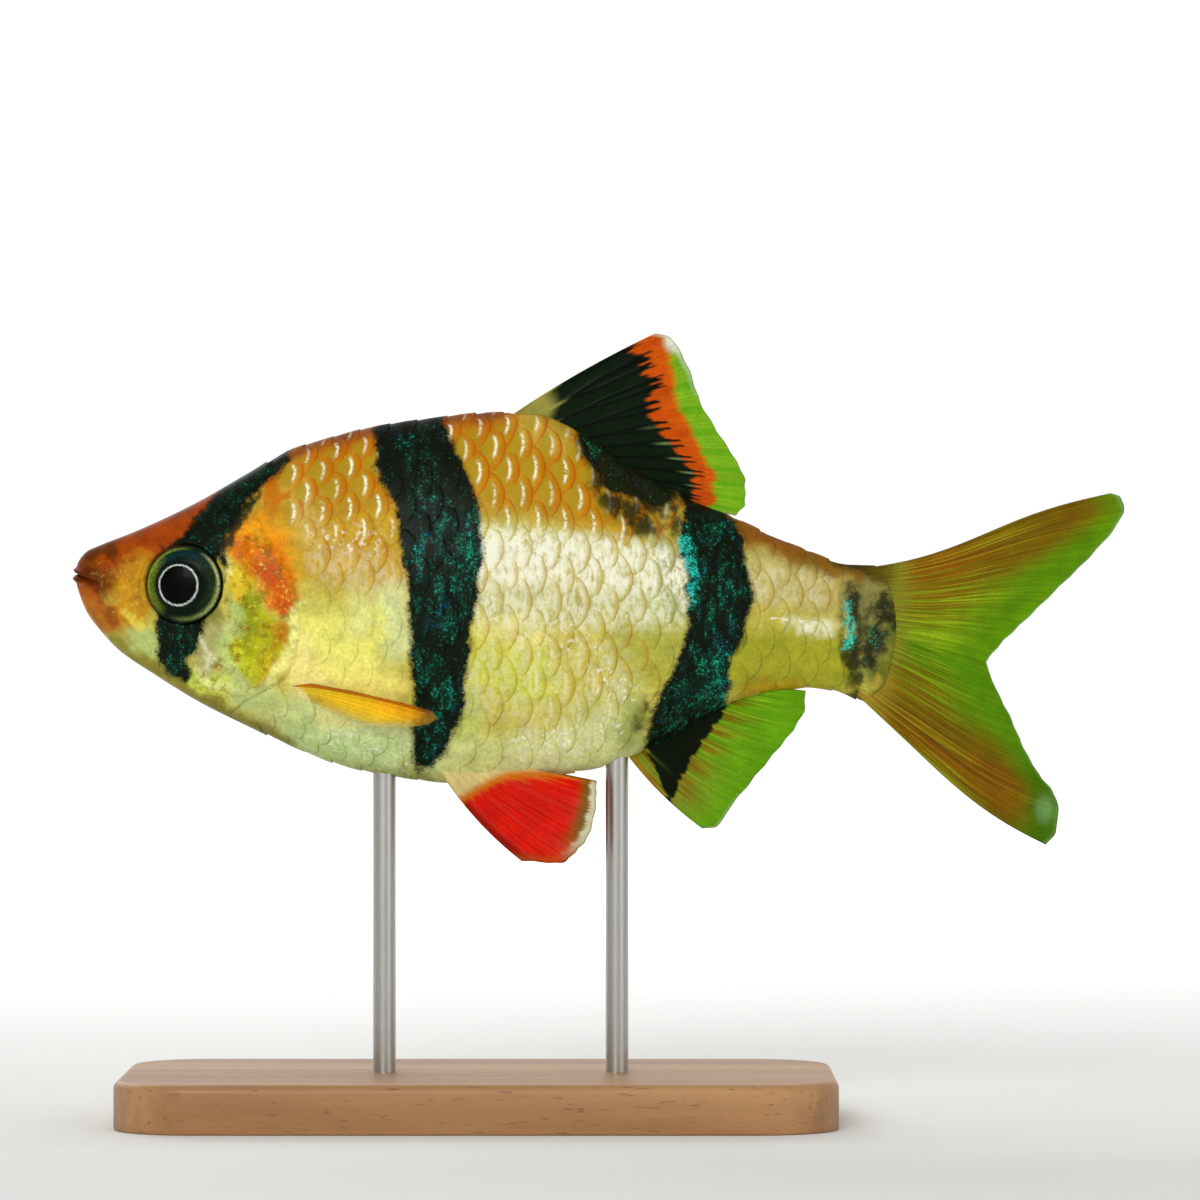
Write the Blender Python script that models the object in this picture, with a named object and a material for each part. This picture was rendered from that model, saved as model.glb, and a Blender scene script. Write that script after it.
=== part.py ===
"""A tiger barb, life size, swimming with its head to -X, held on two rods above a small flat base.

Dimensions are in millimetres and become metres where the meshes are made. Fish coordinates start
at the snout: x runs back to the tail, y to the fish's left is negative, and z is measured from a
level axis through the fish. An angle round the body is 0 on its side, 90 on the back and -90 on
the belly.
"""

import math

import bmesh
import bpy
import numpy as np
from mathutils import Matrix, Vector

MM = 0.001
GAP = 0.3
TOTAL_LENGTH = 65.0
AXIS_HEIGHT = 32.1

# The outline of the body from the side, as (x, z)
BACK = [
    (0.0, 1.6), (0.12, 2.3), (0.56, 2.84), (1.7, 3.4), (3.5, 4.1), (7.2, 5.8), (10.9, 7.9),
    (13.2, 9.25), (15.9, 10.1), (18.3, 10.7), (21.4, 11.2), (26.6, 11.65), (28.8, 11.5), (30.7, 10.7),
    (32.5, 9.6), (35.0, 7.9), (38.1, 6.3), (41.1, 5.0), (44.9, 3.3), (48.0, 2.35), (51.5, 2.2),
]
BELLY = [
    (0.0, 1.3), (0.12, 0.7), (0.56, -0.3), (1.7, -1.9), (2.9, -3.15), (4.8, -4.45), (7.8, -6.3),
    (10.9, -7.85), (14.0, -9.3), (17.1, -10.4), (20.2, -11.0), (23.3, -11.3), (27.0, -11.1), (32.5, -10.4),
    (34.5, -9.65), (36.8, -8.6), (39.0, -7.3), (41.1, -6.2), (43.3, -5.65), (45.5, -5.5), (47.0, -5.7),
    (48.7, -6.4), (51.5, -7.4),
]
# The level at which the body is widest, and its half width there, along x
WIDEST = [
    (0.0, 1.45), (3.0, 1.0), (7.0, 0.6), (14.0, 0.0), (22.0, 0.0), (34.0, -0.2), (42.0, -0.8), (51.5, -1.6),
]
HALF_WIDTH = [
    (0.0, 0.3), (0.12, 0.7), (0.56, 1.1), (1.7, 1.55), (3.5, 2.05), (7.0, 2.85), (11.0, 3.55),
    (14.0, 3.95), (18.0, 4.3), (23.0, 4.45), (28.0, 4.25), (34.0, 3.55), (40.0, 2.55), (45.0, 1.7),
    (48.5, 1.15), (51.5, 0.6),
]
BACK_TAPER = 0.16

# Where the body is parted, as (angle, x): behind the head, before the tail stalk and at its end
HEAD_END = [
    (-90, 7.9), (-57, 9.4), (-42, 11.0), (-24, 12.5), (-8, 13.1), (15, 12.3), (38, 11.0), (60, 11.5),
    (90, 12.3),
]
STALK_START = [(-90, 42.4), (0, 43.4), (90, 42.4)]
STALK_END = [(-90, 48.8), (-40, 50.3), (0, 50.9), (40, 50.6), (90, 49.4)]
# Where the head's rings begin, and those of the cutter that trims what grows from the body
HEAD_START, CUTTER_START = 0.22, 0.3
AROUND = 28
HEAD_RINGS = [0.0, 0.012, 0.045, 0.09, 0.15, 0.22, 0.3, 0.39, 0.48, 0.57, 0.66, 0.75, 0.84, 0.92, 1.0]
TORSO_RINGS = 18
STALK_RINGS = 6
CUTTER_RINGS = 34

EYE_X, EYE_Z, EYE_RADIUS = 7.0, 0.95, 2.4
EYE_BULGE, EYE_RIM_DROP, EYE_DEPTH = 0.55, 0.3, 1.3
EYE_SIDES, EYE_FULLNESS, EYE_BACK = 24, 0.96, 0.3
EYE_DOME = [0.12, 0.45, 0.75, 0.93, 1.0]
SOCKET_OPEN = 2.0
# The rim round the socket: its inner edge past the eye, and its section as (outward, height)
ORBIT_CLEAR = 0.21
ORBIT_RIM = [(0.0, -0.7), (0.0, 0.08), (0.22, 0.16), (0.45, 0.06), (0.7, -0.12), (0.75, -0.7)]
NOSTRIL_X, NOSTRIL_Z, NOSTRIL_RADIUS = 3.7, 2.5, 0.3
MOUTH_CORNER_X, MOUTH_CORNER_Z, MOUTH_FRONT_Z, MOUTH_OPEN = 1.55, 1.0, 1.6, 0.26
MOUTH_CUT_FRONT, MOUTH_CUT_HALF = -1.0, 3.0
LIP_RADIUS, LIP_STEPS, LIP_SETBACK, LIP_THINNING, LIP_LAP = 0.3, 6, 0.28, 0.5, 0.75
LIP_ROUNDING, LIP_TUCK = 2.2, 0.97

# The gill cover's edge from the side, as (x, z) round the plate, and the middle that it is laid out from
GILL_MIDDLE = (12.0, -0.8)
GILL_EDGE = [
    (11.0, 4.6), (12.4, 3.3), (13.7, 0.9), (14.1, -1.5), (13.6, -3.8), (12.3, -5.5), (10.7, -6.1),
    (9.6, -5.0), (10.1, -2.6), (10.7, 0.4), (10.6, 3.0),
]
GILL_RINGS = [0.3, 0.6, 0.85, 1.0]
GILL_AROUND = 30
GILL_PROUD, GILL_EDGE_PROUD, GILL_THICKNESS = 0.28, 0.12, 0.75
RECESS_OPEN = 2.5

# Each fin's rays run from a root line to a margin. Both are (share across the fin, x, y, z), from
# the first ray to the last. A bow bends the rays in the fin's own plane, a sway is its S shape, a lift
# arches them outward and a wave ripples the fin's outer half.
DORSAL = dict(
    rays=11, rows=8, columns=4, half_root=0.5, bow=(0.28, -0.1), sway=(0.0, 0.0), wave=0.35, lift=0.0,
    roots=[(0, 25.6, 0, 10.4), (0.5, 30.6, 0, 9.3), (1, 35.4, 0, 6.6)],
    tips=[(0, 35.9, 0, 16.45), (0.05, 36.7, 0, 16.35), (0.1, 37.4, 0, 15.5), (0.2, 38.1, 0, 14.1),
          (0.32, 38.7, 0, 12.3), (0.45, 39.8, 0, 10.4), (0.6, 41.0, 0, 8.5), (0.72, 41.5, 0, 7.4),
          (0.87, 41.5, 0, 6.3), (1, 41.0, 0, 5.8)],
)
ANAL = dict(
    rays=8, rows=7, columns=4, half_root=0.45, bow=(0.3, 0.0), sway=(0.0, 0.0), wave=-0.3, lift=0.0,
    roots=[(0, 33.7, 0, -8.9), (0.5, 37.2, 0, -7.3), (1, 40.6, 0, -5.0)],
    tips=[(0, 38.8, 0, -14.1), (0.06, 39.6, 0, -14.1), (0.15, 40.5, 0, -12.9), (0.35, 42.1, 0, -10.9),
          (0.55, 43.5, 0, -9.2), (0.75, 44.6, 0, -7.8), (0.9, 45.2, 0, -6.7), (1, 45.3, 0, -6.15)],
)
TAIL_UPPER = dict(
    rays=10, rows=9, columns=4, half_root=0.5, bow=(-0.08, 0.1), sway=(-0.3, 0.0), wave=0.5, lift=0.0,
    roots=[(0, 48.2, 0, 1.9), (0.5, 49.6, 0, 0.3), (1, 49.6, 0, -2.2)],
    tips=[(0, 64.0, 0, 6.6), (0.04, 64.7, 0, 6.4), (0.08, 65.0, 0, 5.75), (0.15, 64.6, 0, 4.9),
          (0.3, 63.1, 0, 3.0), (0.5, 60.9, 0, 0.8), (0.7, 58.7, 0, -1.35), (0.87, 57.2, 0, -2.8),
          (1, 56.3, 0, -3.75)],
)
TAIL_LOWER = dict(
    rays=9, rows=9, columns=4, half_root=0.5, bow=(0.0, 0.62), sway=(0.0, 0.0), wave=-0.4, lift=0.0,
    roots=[(0, 49.6, 0, -2.6), (0.5, 49.3, 0, -4.3), (1, 48.2, 0, -5.7)],
    tips=[(0, 56.3, 0, -4.1), (0.1, 57.0, 0, -5.55), (0.25, 57.8, 0, -7.15), (0.45, 58.7, 0, -9.2),
          (0.65, 59.7, 0, -10.9), (0.8, 60.5, 0, -11.9), (0.88, 60.8, 0, -12.9), (0.95, 60.7, 0, -14.3),
          (1, 60.0, 0, -15.1)],
)
PELVIC = dict(
    rays=9, rows=6, columns=3, half_root=0.4, bow=(0.35, 0.0), sway=(0.0, 0.0), wave=0.0, lift=0.0,
    roots=[(0, 22.5, 1.2, -10.3), (1, 25.6, 0.9, -9.8)],
    tips=[(0, 27.7, 2.9, -16.2), (0.2, 30.0, 3.0, -16.4), (0.4, 31.0, 2.9, -15.4), (0.6, 31.8, 2.6, -14.1),
          (0.8, 32.3, 2.2, -12.4), (1, 32.3, 1.7, -11.2)],
)
PECTORAL = dict(
    rays=9, rows=6, columns=3, half_root=0.35, bow=(0.2, 0.0), sway=(0.0, 0.0), wave=0.0, lift=0.6,
    roots=[(0, 13.1, 2.5, -5.0), (1, 14.2, 2.1, -6.0)],
    tips=[(0, 22.4, 6.2, -6.8), (0.12, 22.6, 6.0, -7.2), (0.35, 21.5, 5.6, -7.7), (0.7, 19.3, 4.9, -7.8),
          (1, 17.4, 4.4, -7.3)],
)
MEMBRANE_HALF, TIP_HALF, RIDGE, RIDGE_TAPER = 0.25, 0.14, 0.15, 0.6
ROW_CROWDING, ROOT_FILLET = 0.85, 0.3
SCALLOP, SCALLOP_START = 0.18, 0.8
# A ray's width in columns, where its fork opens, what stays of its stem and how high its branches are
RAY_WIDTH, FORK_START, FORK_LENGTH, STEM_LEFT, BRANCH_HEIGHT = 0.9, 0.45, 0.3, 0.15, 0.75

BASE_LENGTH, BASE_WIDTH, BASE_HEIGHT = 44.0, 24.0, 3.0
BASE_CORNER, BASE_BEVEL, BASE_SHIFT = 5.0, 0.5, -7.5
ROD_RADIUS, ROD_SIDES, ROD_SOCKET = 0.7, 16, 1.5
ROD_PLACES = {"front": 19.2, "rear": 33.55}
SHARP_ANGLE = 40
WELD = 0.002

COLOURS = {
    "orange_skin": ((0.72, 0.30, 0.06), 0.35, 0.0),
    "golden_skin": ((0.78, 0.62, 0.26), 0.35, 0.1),
    "gill_plate": ((0.80, 0.52, 0.12), 0.3, 0.2),
    "black_fin": ((0.05, 0.10, 0.06), 0.4, 0.0),
    "green_fin": ((0.28, 0.55, 0.05), 0.4, 0.0),
    "red_fin": ((0.80, 0.08, 0.03), 0.4, 0.0),
    "orange_fin": ((0.85, 0.45, 0.05), 0.4, 0.0),
    "eye": ((0.02, 0.03, 0.02), 0.1, 0.0),
    "wood": ((0.55, 0.36, 0.20), 0.45, 0.0),
    "steel": ((0.60, 0.60, 0.62), 0.3, 1.0),
}


def smooth(points, at):
    """The value at a place on the smooth curve through (place, value) points, which never overshoots."""
    xs, ys = np.array(points, float).T
    steps = np.diff(xs)
    slopes = np.diff(ys) / steps
    tangents = np.zeros(len(xs))
    for i in range(1, len(xs) - 1):
        if slopes[i - 1] * slopes[i] > 0:
            before, after = 2 * steps[i] + steps[i - 1], steps[i] + 2 * steps[i - 1]
            tangents[i] = (before + after) / (before / slopes[i - 1] + after / slopes[i])
    tangents[0], tangents[-1] = slopes[0], slopes[-1]
    at = min(max(at, xs[0]), xs[-1])
    i = min(int(np.searchsorted(xs, at, side="right")) - 1, len(xs) - 2)
    t = (at - xs[i]) / steps[i]
    return float(
        (2 * t**3 - 3 * t**2 + 1) * ys[i] + (t**3 - 2 * t**2 + t) * steps[i] * tangents[i]
        + (3 * t**2 - 2 * t**3) * ys[i + 1] + (t**3 - t**2) * steps[i] * tangents[i + 1]
    )


def smooth_point(points, share):
    """A point on the curve through (share, x, y, z) points."""
    return Vector([smooth([(p[0], p[axis]) for p in points], share) for axis in (1, 2, 3)])


def body_point(x, angle, swell=0.0):
    """The skin's point at x and at an angle round the body, on the +Y side for angles from -90 to 90."""
    middle = smooth(WIDEST, x)
    width = smooth(HALF_WIDTH, x) + swell
    up = smooth(BACK, x) - middle + swell
    down = middle - smooth(BELLY, x) + swell
    rise, reach = math.sin(math.radians(angle)), math.cos(math.radians(angle))
    taper = 1 - BACK_TAPER * max(rise, 0) ** 2
    return Vector((x, width * reach * taper, middle + (up if rise > 0 else down) * rise))


def side_y(x, z):
    """The skin's half width at x and at the height z, read from the section there."""
    middle = smooth(WIDEST, x)
    reach = smooth(BACK, x) - middle if z > middle else middle - smooth(BELLY, x)
    rise = min(abs(z - middle) / reach, 0.98)
    taper = 1 - BACK_TAPER * rise**2 if z > middle else 1
    return smooth(HALF_WIDTH, x) * math.sqrt(1 - rise**2) * taper


def fold(angle):
    """The angle between -90 and 90 at the same height as one that goes right round the body."""
    angle = (angle + 180) % 360 - 180
    return angle if abs(angle) <= 90 else math.copysign(180, angle) - angle


def material(name):
    colour, roughness, metallic = COLOURS[name]
    made = bpy.data.materials.get(name) or bpy.data.materials.new(name)
    made.use_nodes = True
    shader = made.node_tree.nodes["Principled BSDF"]
    shader.inputs["Base Color"].default_value = (*colour, 1)
    shader.inputs["Roughness"].default_value = roughness
    shader.inputs["Metallic"].default_value = metallic
    return made


def to_object(name, bm, finish=None):
    """Ends a bmesh as an object in the row frame. Helpers have no finish and stay out of the render."""
    bmesh.ops.recalc_face_normals(bm, faces=bm.faces)
    mesh = bpy.data.meshes.new(name)
    bm.to_mesh(mesh)
    bm.free()
    made = bpy.data.objects.new(name, mesh)
    bpy.context.scene.collection.objects.link(made)
    if finish:
        mesh.materials.append(material(finish))
        mesh.shade_smooth()
        mesh.set_sharp_from_angle(angle=math.radians(SHARP_ANGLE))
    else:
        made.hide_render = True
        made.display_type = "WIRE"
    return made


def in_row(point):
    """A point of the fish in metres in the row frame, whose origin is on the floor under its middle."""
    return Vector((point[0] - TOTAL_LENGTH / 2, point[1], point[2] + AXIS_HEIGHT)) * MM


def ring_solid(rings):
    """A closed solid through rings of fish points, its ends closed by a fan to each ring's middle."""
    bm = bmesh.new()
    loops = [[bm.verts.new(in_row(point)) for point in ring] for ring in rings]
    count = len(loops[0])
    for first, second in zip(loops, loops[1:]):
        for i in range(count):
            j = (i + 1) % count
            bm.faces.new((first[i], first[j], second[j], second[i]))
    for loop in (loops[0], loops[-1]):
        middle = bm.verts.new(sum((v.co for v in loop), Vector()) / count)
        for i in range(count):
            bm.faces.new((loop[i], loop[(i + 1) % count], middle))
    bmesh.ops.triangulate(bm, faces=bm.faces)
    return bm


def body_length(start, end, shares, swell=0.0):
    """Rings of the body between two curves of (angle, x), at shares of the way from one to the other."""
    rings = []
    for share in shares:
        ring = []
        for i in range(AROUND):
            turn = 360 * i / AROUND
            angle = fold(turn)
            x = smooth(start, angle) * (1 - share) + smooth(end, angle) * share
            point = body_point(x, angle, swell)
            if 90 < turn < 270:
                point.y = -point.y
            ring.append(point)
        rings.append(ring)
    return rings


def shifted(curve, by):
    return [(angle, x + by) for angle, x in curve]


def even(count):
    return [i / (count - 1) for i in range(count)]


def boolean(target, others, operation, solver="EXACT"):
    """Joins a collection of helpers to the target, or cuts them from it, and removes them."""
    group = bpy.data.collections.new(target.name + "_" + operation.lower())
    bpy.context.scene.collection.children.link(group)
    for other in others:
        group.objects.link(other)
    modifier = target.modifiers.new(operation.lower(), "BOOLEAN")
    modifier.operation = operation
    modifier.operand_type = "COLLECTION"
    modifier.solver = solver
    modifier.collection = group
    graph = bpy.context.evaluated_depsgraph_get()
    mesh = bpy.data.meshes.new_from_object(target.evaluated_get(graph))
    target.modifiers.clear()
    old, target.data = target.data, mesh
    mesh.name = target.name
    bpy.data.meshes.remove(old)
    for other in others:
        bpy.data.objects.remove(other)
    bpy.data.collections.remove(group)
    keep_largest(target)


def keep_largest(target):
    """Leaves only the largest closed surface of a mesh, in triangles."""
    bm = bmesh.new()
    bm.from_mesh(target.data)
    bmesh.ops.remove_doubles(bm, verts=bm.verts, dist=WELD * MM)
    bmesh.ops.triangulate(bm, faces=bm.faces)
    left, shells = set(bm.faces), []
    while left:
        shell, edge = set(), [left.pop()]
        while edge:
            face = edge.pop()
            shell.add(face)
            near = {other for side in face.edges for other in side.link_faces} & left
            left -= near
            edge.extend(near)
        shells.append(shell)
    largest = max(shells, key=lambda shell: sum(face.calc_area() for face in shell))
    scraps = [face for shell in shells if shell is not largest for face in shell]
    bmesh.ops.delete(bm, geom=scraps, context="FACES")
    bm.to_mesh(target.data)
    bm.free()


def body_cutter(name):
    """The whole body grown by the gap, which trims what grows from it."""
    start = [(-90, CUTTER_START), (90, CUTTER_START)]
    rings = body_length(start, shifted(STALK_END, GAP), even(CUTTER_RINGS), GAP)
    return to_object(name, ring_solid(rings))


def side_frame(x, z):
    """Axes on the skin of the +Y side: forward along it, up along it and straight out."""
    step = 0.2
    middle = Vector((x, side_y(x, z), z))
    along = Vector((x + step, side_y(x + step, z), z)) - Vector((x - step, side_y(x - step, z), z))
    up = Vector((x, side_y(x, z + step), z + step)) - Vector((x, side_y(x, z - step), z - step))
    out = up.cross(along).normalized()
    along.normalize()
    return middle, along, out.cross(along).normalized() * -1, out


def orbit_rim(side):
    """A low ring raised on the skin round the eye's socket."""
    rings = []
    for outward, height in ORBIT_RIM:
        radius = EYE_RADIUS + ORBIT_CLEAR + outward
        ring = []
        for i in range(EYE_SIDES):
            turn = 2 * math.pi * i / EYE_SIDES
            x, z = EYE_X + radius * math.cos(turn), EYE_Z + radius * math.sin(turn)
            ring.append(Vector((x, (side_y(x, z) + height) * side, z)))
        rings.append(ring)
    return to_object("orbit_rim", ring_solid(rings))


def disc_rings(profile, side):
    """Rings round the eye's axis at (radius, height) pairs, on one side of the head."""
    middle, along, up, out = side_frame(EYE_X, EYE_Z)
    rings = []
    for radius, height in profile:
        ring = []
        for i in range(EYE_SIDES):
            turn = 2 * math.pi * i / EYE_SIDES
            point = middle + radius * (math.cos(turn) * along + math.sin(turn) * up) + height * out
            ring.append(Vector((point.x, point.y * side, point.z)))
        rings.append(ring)
    return rings


def eye_profile():
    """The eye's dome from its middle out to the rim, then its sunk back."""
    rise = EYE_BULGE + EYE_RIM_DROP
    dome = [
        (EYE_RADIUS * s, rise * math.sqrt(1 - (EYE_FULLNESS * s) ** 2) - EYE_RIM_DROP) for s in EYE_DOME
    ]
    return dome + [(EYE_RADIUS, -EYE_DEPTH), (EYE_RADIUS * EYE_BACK, -EYE_DEPTH)]


def ball(name, centre, radius):
    bm = bmesh.new()
    bmesh.ops.create_icosphere(bm, subdivisions=2, radius=radius * MM)
    bmesh.ops.translate(bm, verts=bm.verts, vec=in_row(centre))
    return to_object(name, bm)


def tube_rings(path, radii, sides=8):
    """Rings of a bent tube along a path whose thickness changes."""
    rings = []
    for i, (point, radius) in enumerate(zip(path, radii)):
        ahead, behind = path[min(i + 1, len(path) - 1)], path[max(i - 1, 0)]
        along = (ahead - behind).normalized()
        across = along.cross(Vector((0, 0, 1))).normalized()
        up = across.cross(along)
        rings.append([
            point + radius * (math.cos(turn) * across + math.sin(turn) * up)
            for turn in (2 * math.pi * k / sides for k in range(sides))
        ])
    return rings


def lip(name, above):
    """A lip that runs from one corner of the mouth round the snout to the other."""
    side = 1 if above else -1
    path, radii = [], []
    for s in (i / LIP_STEPS for i in range(-LIP_STEPS, LIP_STEPS + 1)):
        x = LIP_SETBACK + MOUTH_CORNER_X * s * s
        height = MOUTH_FRONT_Z + (MOUTH_CORNER_Z - MOUTH_FRONT_Z) * s * s
        radius = LIP_RADIUS * (1 - LIP_THINNING * s**4)
        z = height + side * (MOUTH_OPEN / 2 + LIP_LAP * radius)
        y = side_y(x, z) * min(1, abs(s) * LIP_ROUNDING) * LIP_TUCK
        path.append(Vector((x, math.copysign(y, s), z)))
        radii.append(radius)
    return to_object(name, ring_solid(tube_rings(path, radii)))


def mouth_cleft():
    """A wedge across the snout that opens the line of the mouth and ends at its corners."""
    back = (MOUTH_CORNER_X, MOUTH_CORNER_Z)
    slope = (MOUTH_FRONT_Z - MOUTH_CORNER_Z) / MOUTH_CORNER_X
    middle = MOUTH_CORNER_Z + slope * (MOUTH_CORNER_X - MOUTH_CUT_FRONT)
    outline = [back, (MOUTH_CUT_FRONT, middle + MOUTH_OPEN), (MOUTH_CUT_FRONT, middle - MOUTH_OPEN)]
    ends = [[Vector((x, y, z)) for x, z in outline] for y in (-MOUTH_CUT_HALF, MOUTH_CUT_HALF)]
    return to_object("mouth", ring_solid(ends))


def gill_rings(side, grow, proud, edge_proud, depth):
    """Rings over the gill cover's outer face and back under its inner face."""
    corners = [Vector((x, z)) for x, z in GILL_EDGE]
    middle = Vector(GILL_MIDDLE)
    closed = [corners[-1]] + corners + corners[:2]
    shares = list(range(-1, len(corners) + 2))
    outline = []
    for i in range(GILL_AROUND):
        place = len(corners) * i / GILL_AROUND
        x, z = (smooth([(s, c[axis]) for s, c in zip(shares, closed)], place) for axis in (0, 1))
        away = Vector((x, z)) - middle
        outline.append(away * (1 + grow / away.length))
    rings = []
    for face in ("outer", "inner"):
        for share in GILL_RINGS if face == "outer" else GILL_RINGS[::-1]:
            ring = []
            for away in outline:
                x, z = middle + away * share
                stand = proud + (edge_proud - proud) * share**3
                height = stand if face == "outer" else -depth
                ring.append(Vector((x, (side_y(x, z) + height) * side, z)))
            rings.append(ring)
    return rings


def gill_cover(name, side):
    depth = GILL_THICKNESS - GILL_PROUD
    rings = gill_rings(side, 0.0, GILL_PROUD, GILL_EDGE_PROUD, depth)
    return to_object(name, ring_solid(rings), "gill_plate")


def gill_recess(side):
    """What the gill cover needs clear round it, opened well past the skin."""
    depth = GILL_THICKNESS - GILL_PROUD + GAP
    return to_object("gill_recess", ring_solid(gill_rings(side, GAP, RECESS_OPEN, RECESS_OPEN, depth)))


def head():
    """Snout, lips, nostrils, cheeks and nape, with sockets for the eyes and seats for the gill covers."""
    rings = body_length([(-90, HEAD_START), (90, HEAD_START)], HEAD_END, HEAD_RINGS)
    made = to_object("head", ring_solid(rings), "orange_skin")
    rims = [orbit_rim(side) for side in (1, -1)]
    boolean(made, [lip("upper_lip", True), lip("lower_lip", False), *rims], "UNION")
    socket = [(EYE_RADIUS + GAP, -EYE_DEPTH - GAP), (EYE_RADIUS + GAP, SOCKET_OPEN)]
    cuts = [to_object("socket", ring_solid(disc_rings(socket, side))) for side in (1, -1)]
    cuts += [gill_recess(side) for side in (1, -1)]
    nostril_y = side_y(NOSTRIL_X, NOSTRIL_Z)
    for side in (1, -1):
        cuts.append(ball("nostril", (NOSTRIL_X, nostril_y * side, NOSTRIL_Z), NOSTRIL_RADIUS))
    cuts.append(mouth_cleft())
    boolean(made, cuts, "DIFFERENCE")
    return made


def torso():
    """The deep middle of the body, seated for the gill covers' free edges."""
    rings = body_length(shifted(HEAD_END, GAP), shifted(STALK_START, -GAP), even(TORSO_RINGS))
    made = to_object("torso", ring_solid(rings), "golden_skin")
    boolean(made, [gill_recess(side) for side in (1, -1)], "DIFFERENCE")
    return made


def tail_stalk():
    rings = body_length(STALK_START, STALK_END, even(STALK_RINGS))
    return to_object("tail_stalk", ring_solid(rings), "golden_skin")


def eye(name, side):
    return to_object(name, ring_solid(disc_rings(eye_profile(), side)), "eye")


def ray_ridge(across, along, rays, columns):
    """The height of the rays on the membrane, 0 to 1. Each ray forks in its outer half."""
    phase = across * (rays - 1)
    off = abs(phase - round(phase))
    step = 1 / columns
    whole = max(0.0, 1 - off / (RAY_WIDTH * step))
    pair = max(0.0, 1 - abs(off - step) / (RAY_WIDTH * step))
    fork = min(max((along - FORK_START) / FORK_LENGTH, 0), 1)
    return whole * (1 - (1 - STEM_LEFT) * fork) + BRANCH_HEIGHT * pair * fork


def fin_point(fin, across, along, side):
    """A point of the fin's middle surface: its rays run from root to margin, bowed and gently waved."""
    root, tip = smooth_point(fin["roots"], across), smooth_point(fin["tips"], across)
    ray = tip - root
    first = fin["bow"][0] * (1 - across) + fin["bow"][1] * across
    second = fin["sway"][0] * (1 - across) + fin["sway"][1] * across
    bend = first * 4 * along * (1 - along) + second * math.sin(2 * math.pi * along)
    square = Vector((-ray.z, 0, ray.x)).normalized()
    if fin in (ANAL, PELVIC, TAIL_LOWER):
        square = -square
    nearest = across * (fin["rays"] - 1)
    late = max(0, along - SCALLOP_START) / (1 - SCALLOP_START)
    notch = SCALLOP * abs(nearest - round(nearest)) * 2 * late
    point = root + ray * (along - notch / ray.length) + square * bend
    point.y += fin["wave"] * along**2 * math.sin(math.pi * across) + fin["lift"] * 4 * along * (1 - along)
    return Vector((point.x, point.y * side, point.z))


def fin_solid(name, fin, finish, side=1):
    """A closed fin: two faces alike on both sides of its middle surface, with the rays raised on each."""
    across = even((fin["rays"] - 1) * fin["columns"] + 1)
    along = [s**ROW_CROWDING for s in even(fin["rows"])]
    points = [[fin_point(fin, a, s, side) for a in across] for s in along]
    bm = bmesh.new()
    faces = []
    for face in (1, -1):
        grid = []
        for j, s in enumerate(along):
            row = []
            for i, a in enumerate(across):
                over = points[j][min(i + 1, len(across) - 1)] - points[j][max(i - 1, 0)]
                out = points[min(j + 1, len(along) - 1)][i] - points[max(j - 1, 0)][i]
                normal = over.cross(out).normalized()
                membrane = MEMBRANE_HALF + (TIP_HALF - MEMBRANE_HALF) * s**3
                root = (fin["half_root"] - MEMBRANE_HALF) * max(0, 1 - s / ROOT_FILLET) ** 2
                ridge = RIDGE * ray_ridge(a, s, fin["rays"], fin["columns"]) * (1 - RIDGE_TAPER * s)
                thick = membrane + root + ridge
                row.append(bm.verts.new(in_row(points[j][i] + normal * thick * face)))
            grid.append(row)
        faces.append(grid)
        for j in range(len(along) - 1):
            for i in range(len(across) - 1):
                a, b, c, d = grid[j][i], grid[j][i + 1], grid[j + 1][i + 1], grid[j + 1][i]
                bm.faces.new((a, b, c))
                bm.faces.new((a, c, d))
    front, back = faces
    rim = [(0, i) for i in range(len(across))] + [(j, -1) for j in range(1, len(along))]
    rim += [(-1, i) for i in range(len(across) - 2, -1, -1)] + [(j, 0) for j in range(len(along) - 2, 0, -1)]
    for (j, i), (k, m) in zip(rim, rim[1:] + rim[:1]):
        bm.faces.new((front[j][i], front[k][m], back[k][m], back[j][i]))
    bmesh.ops.triangulate(bm, faces=[face for face in bm.faces if len(face.verts) > 3])
    made = to_object(name, bm, finish)
    # The ridged faces cross themselves by a hair at the root, where EXACT leaves nothing
    boolean(made, [body_cutter(name + "_trim")], "DIFFERENCE", "MANIFOLD")
    return made


def upright(name, radius, x, low, high, finish=None):
    """A standing cylinder at x, between two heights above the floor."""
    bm = bmesh.new()
    bmesh.ops.create_cone(
        bm, cap_ends=True, segments=ROD_SIDES, radius1=radius * MM, radius2=radius * MM,
        depth=(high - low) * MM, matrix=Matrix.Translation(Vector((x, 0, (low + high) / 2)) * MM),
    )
    return to_object(name, bm, finish)


def rod_x(place):
    return ROD_PLACES[place] - TOTAL_LENGTH / 2


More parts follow.
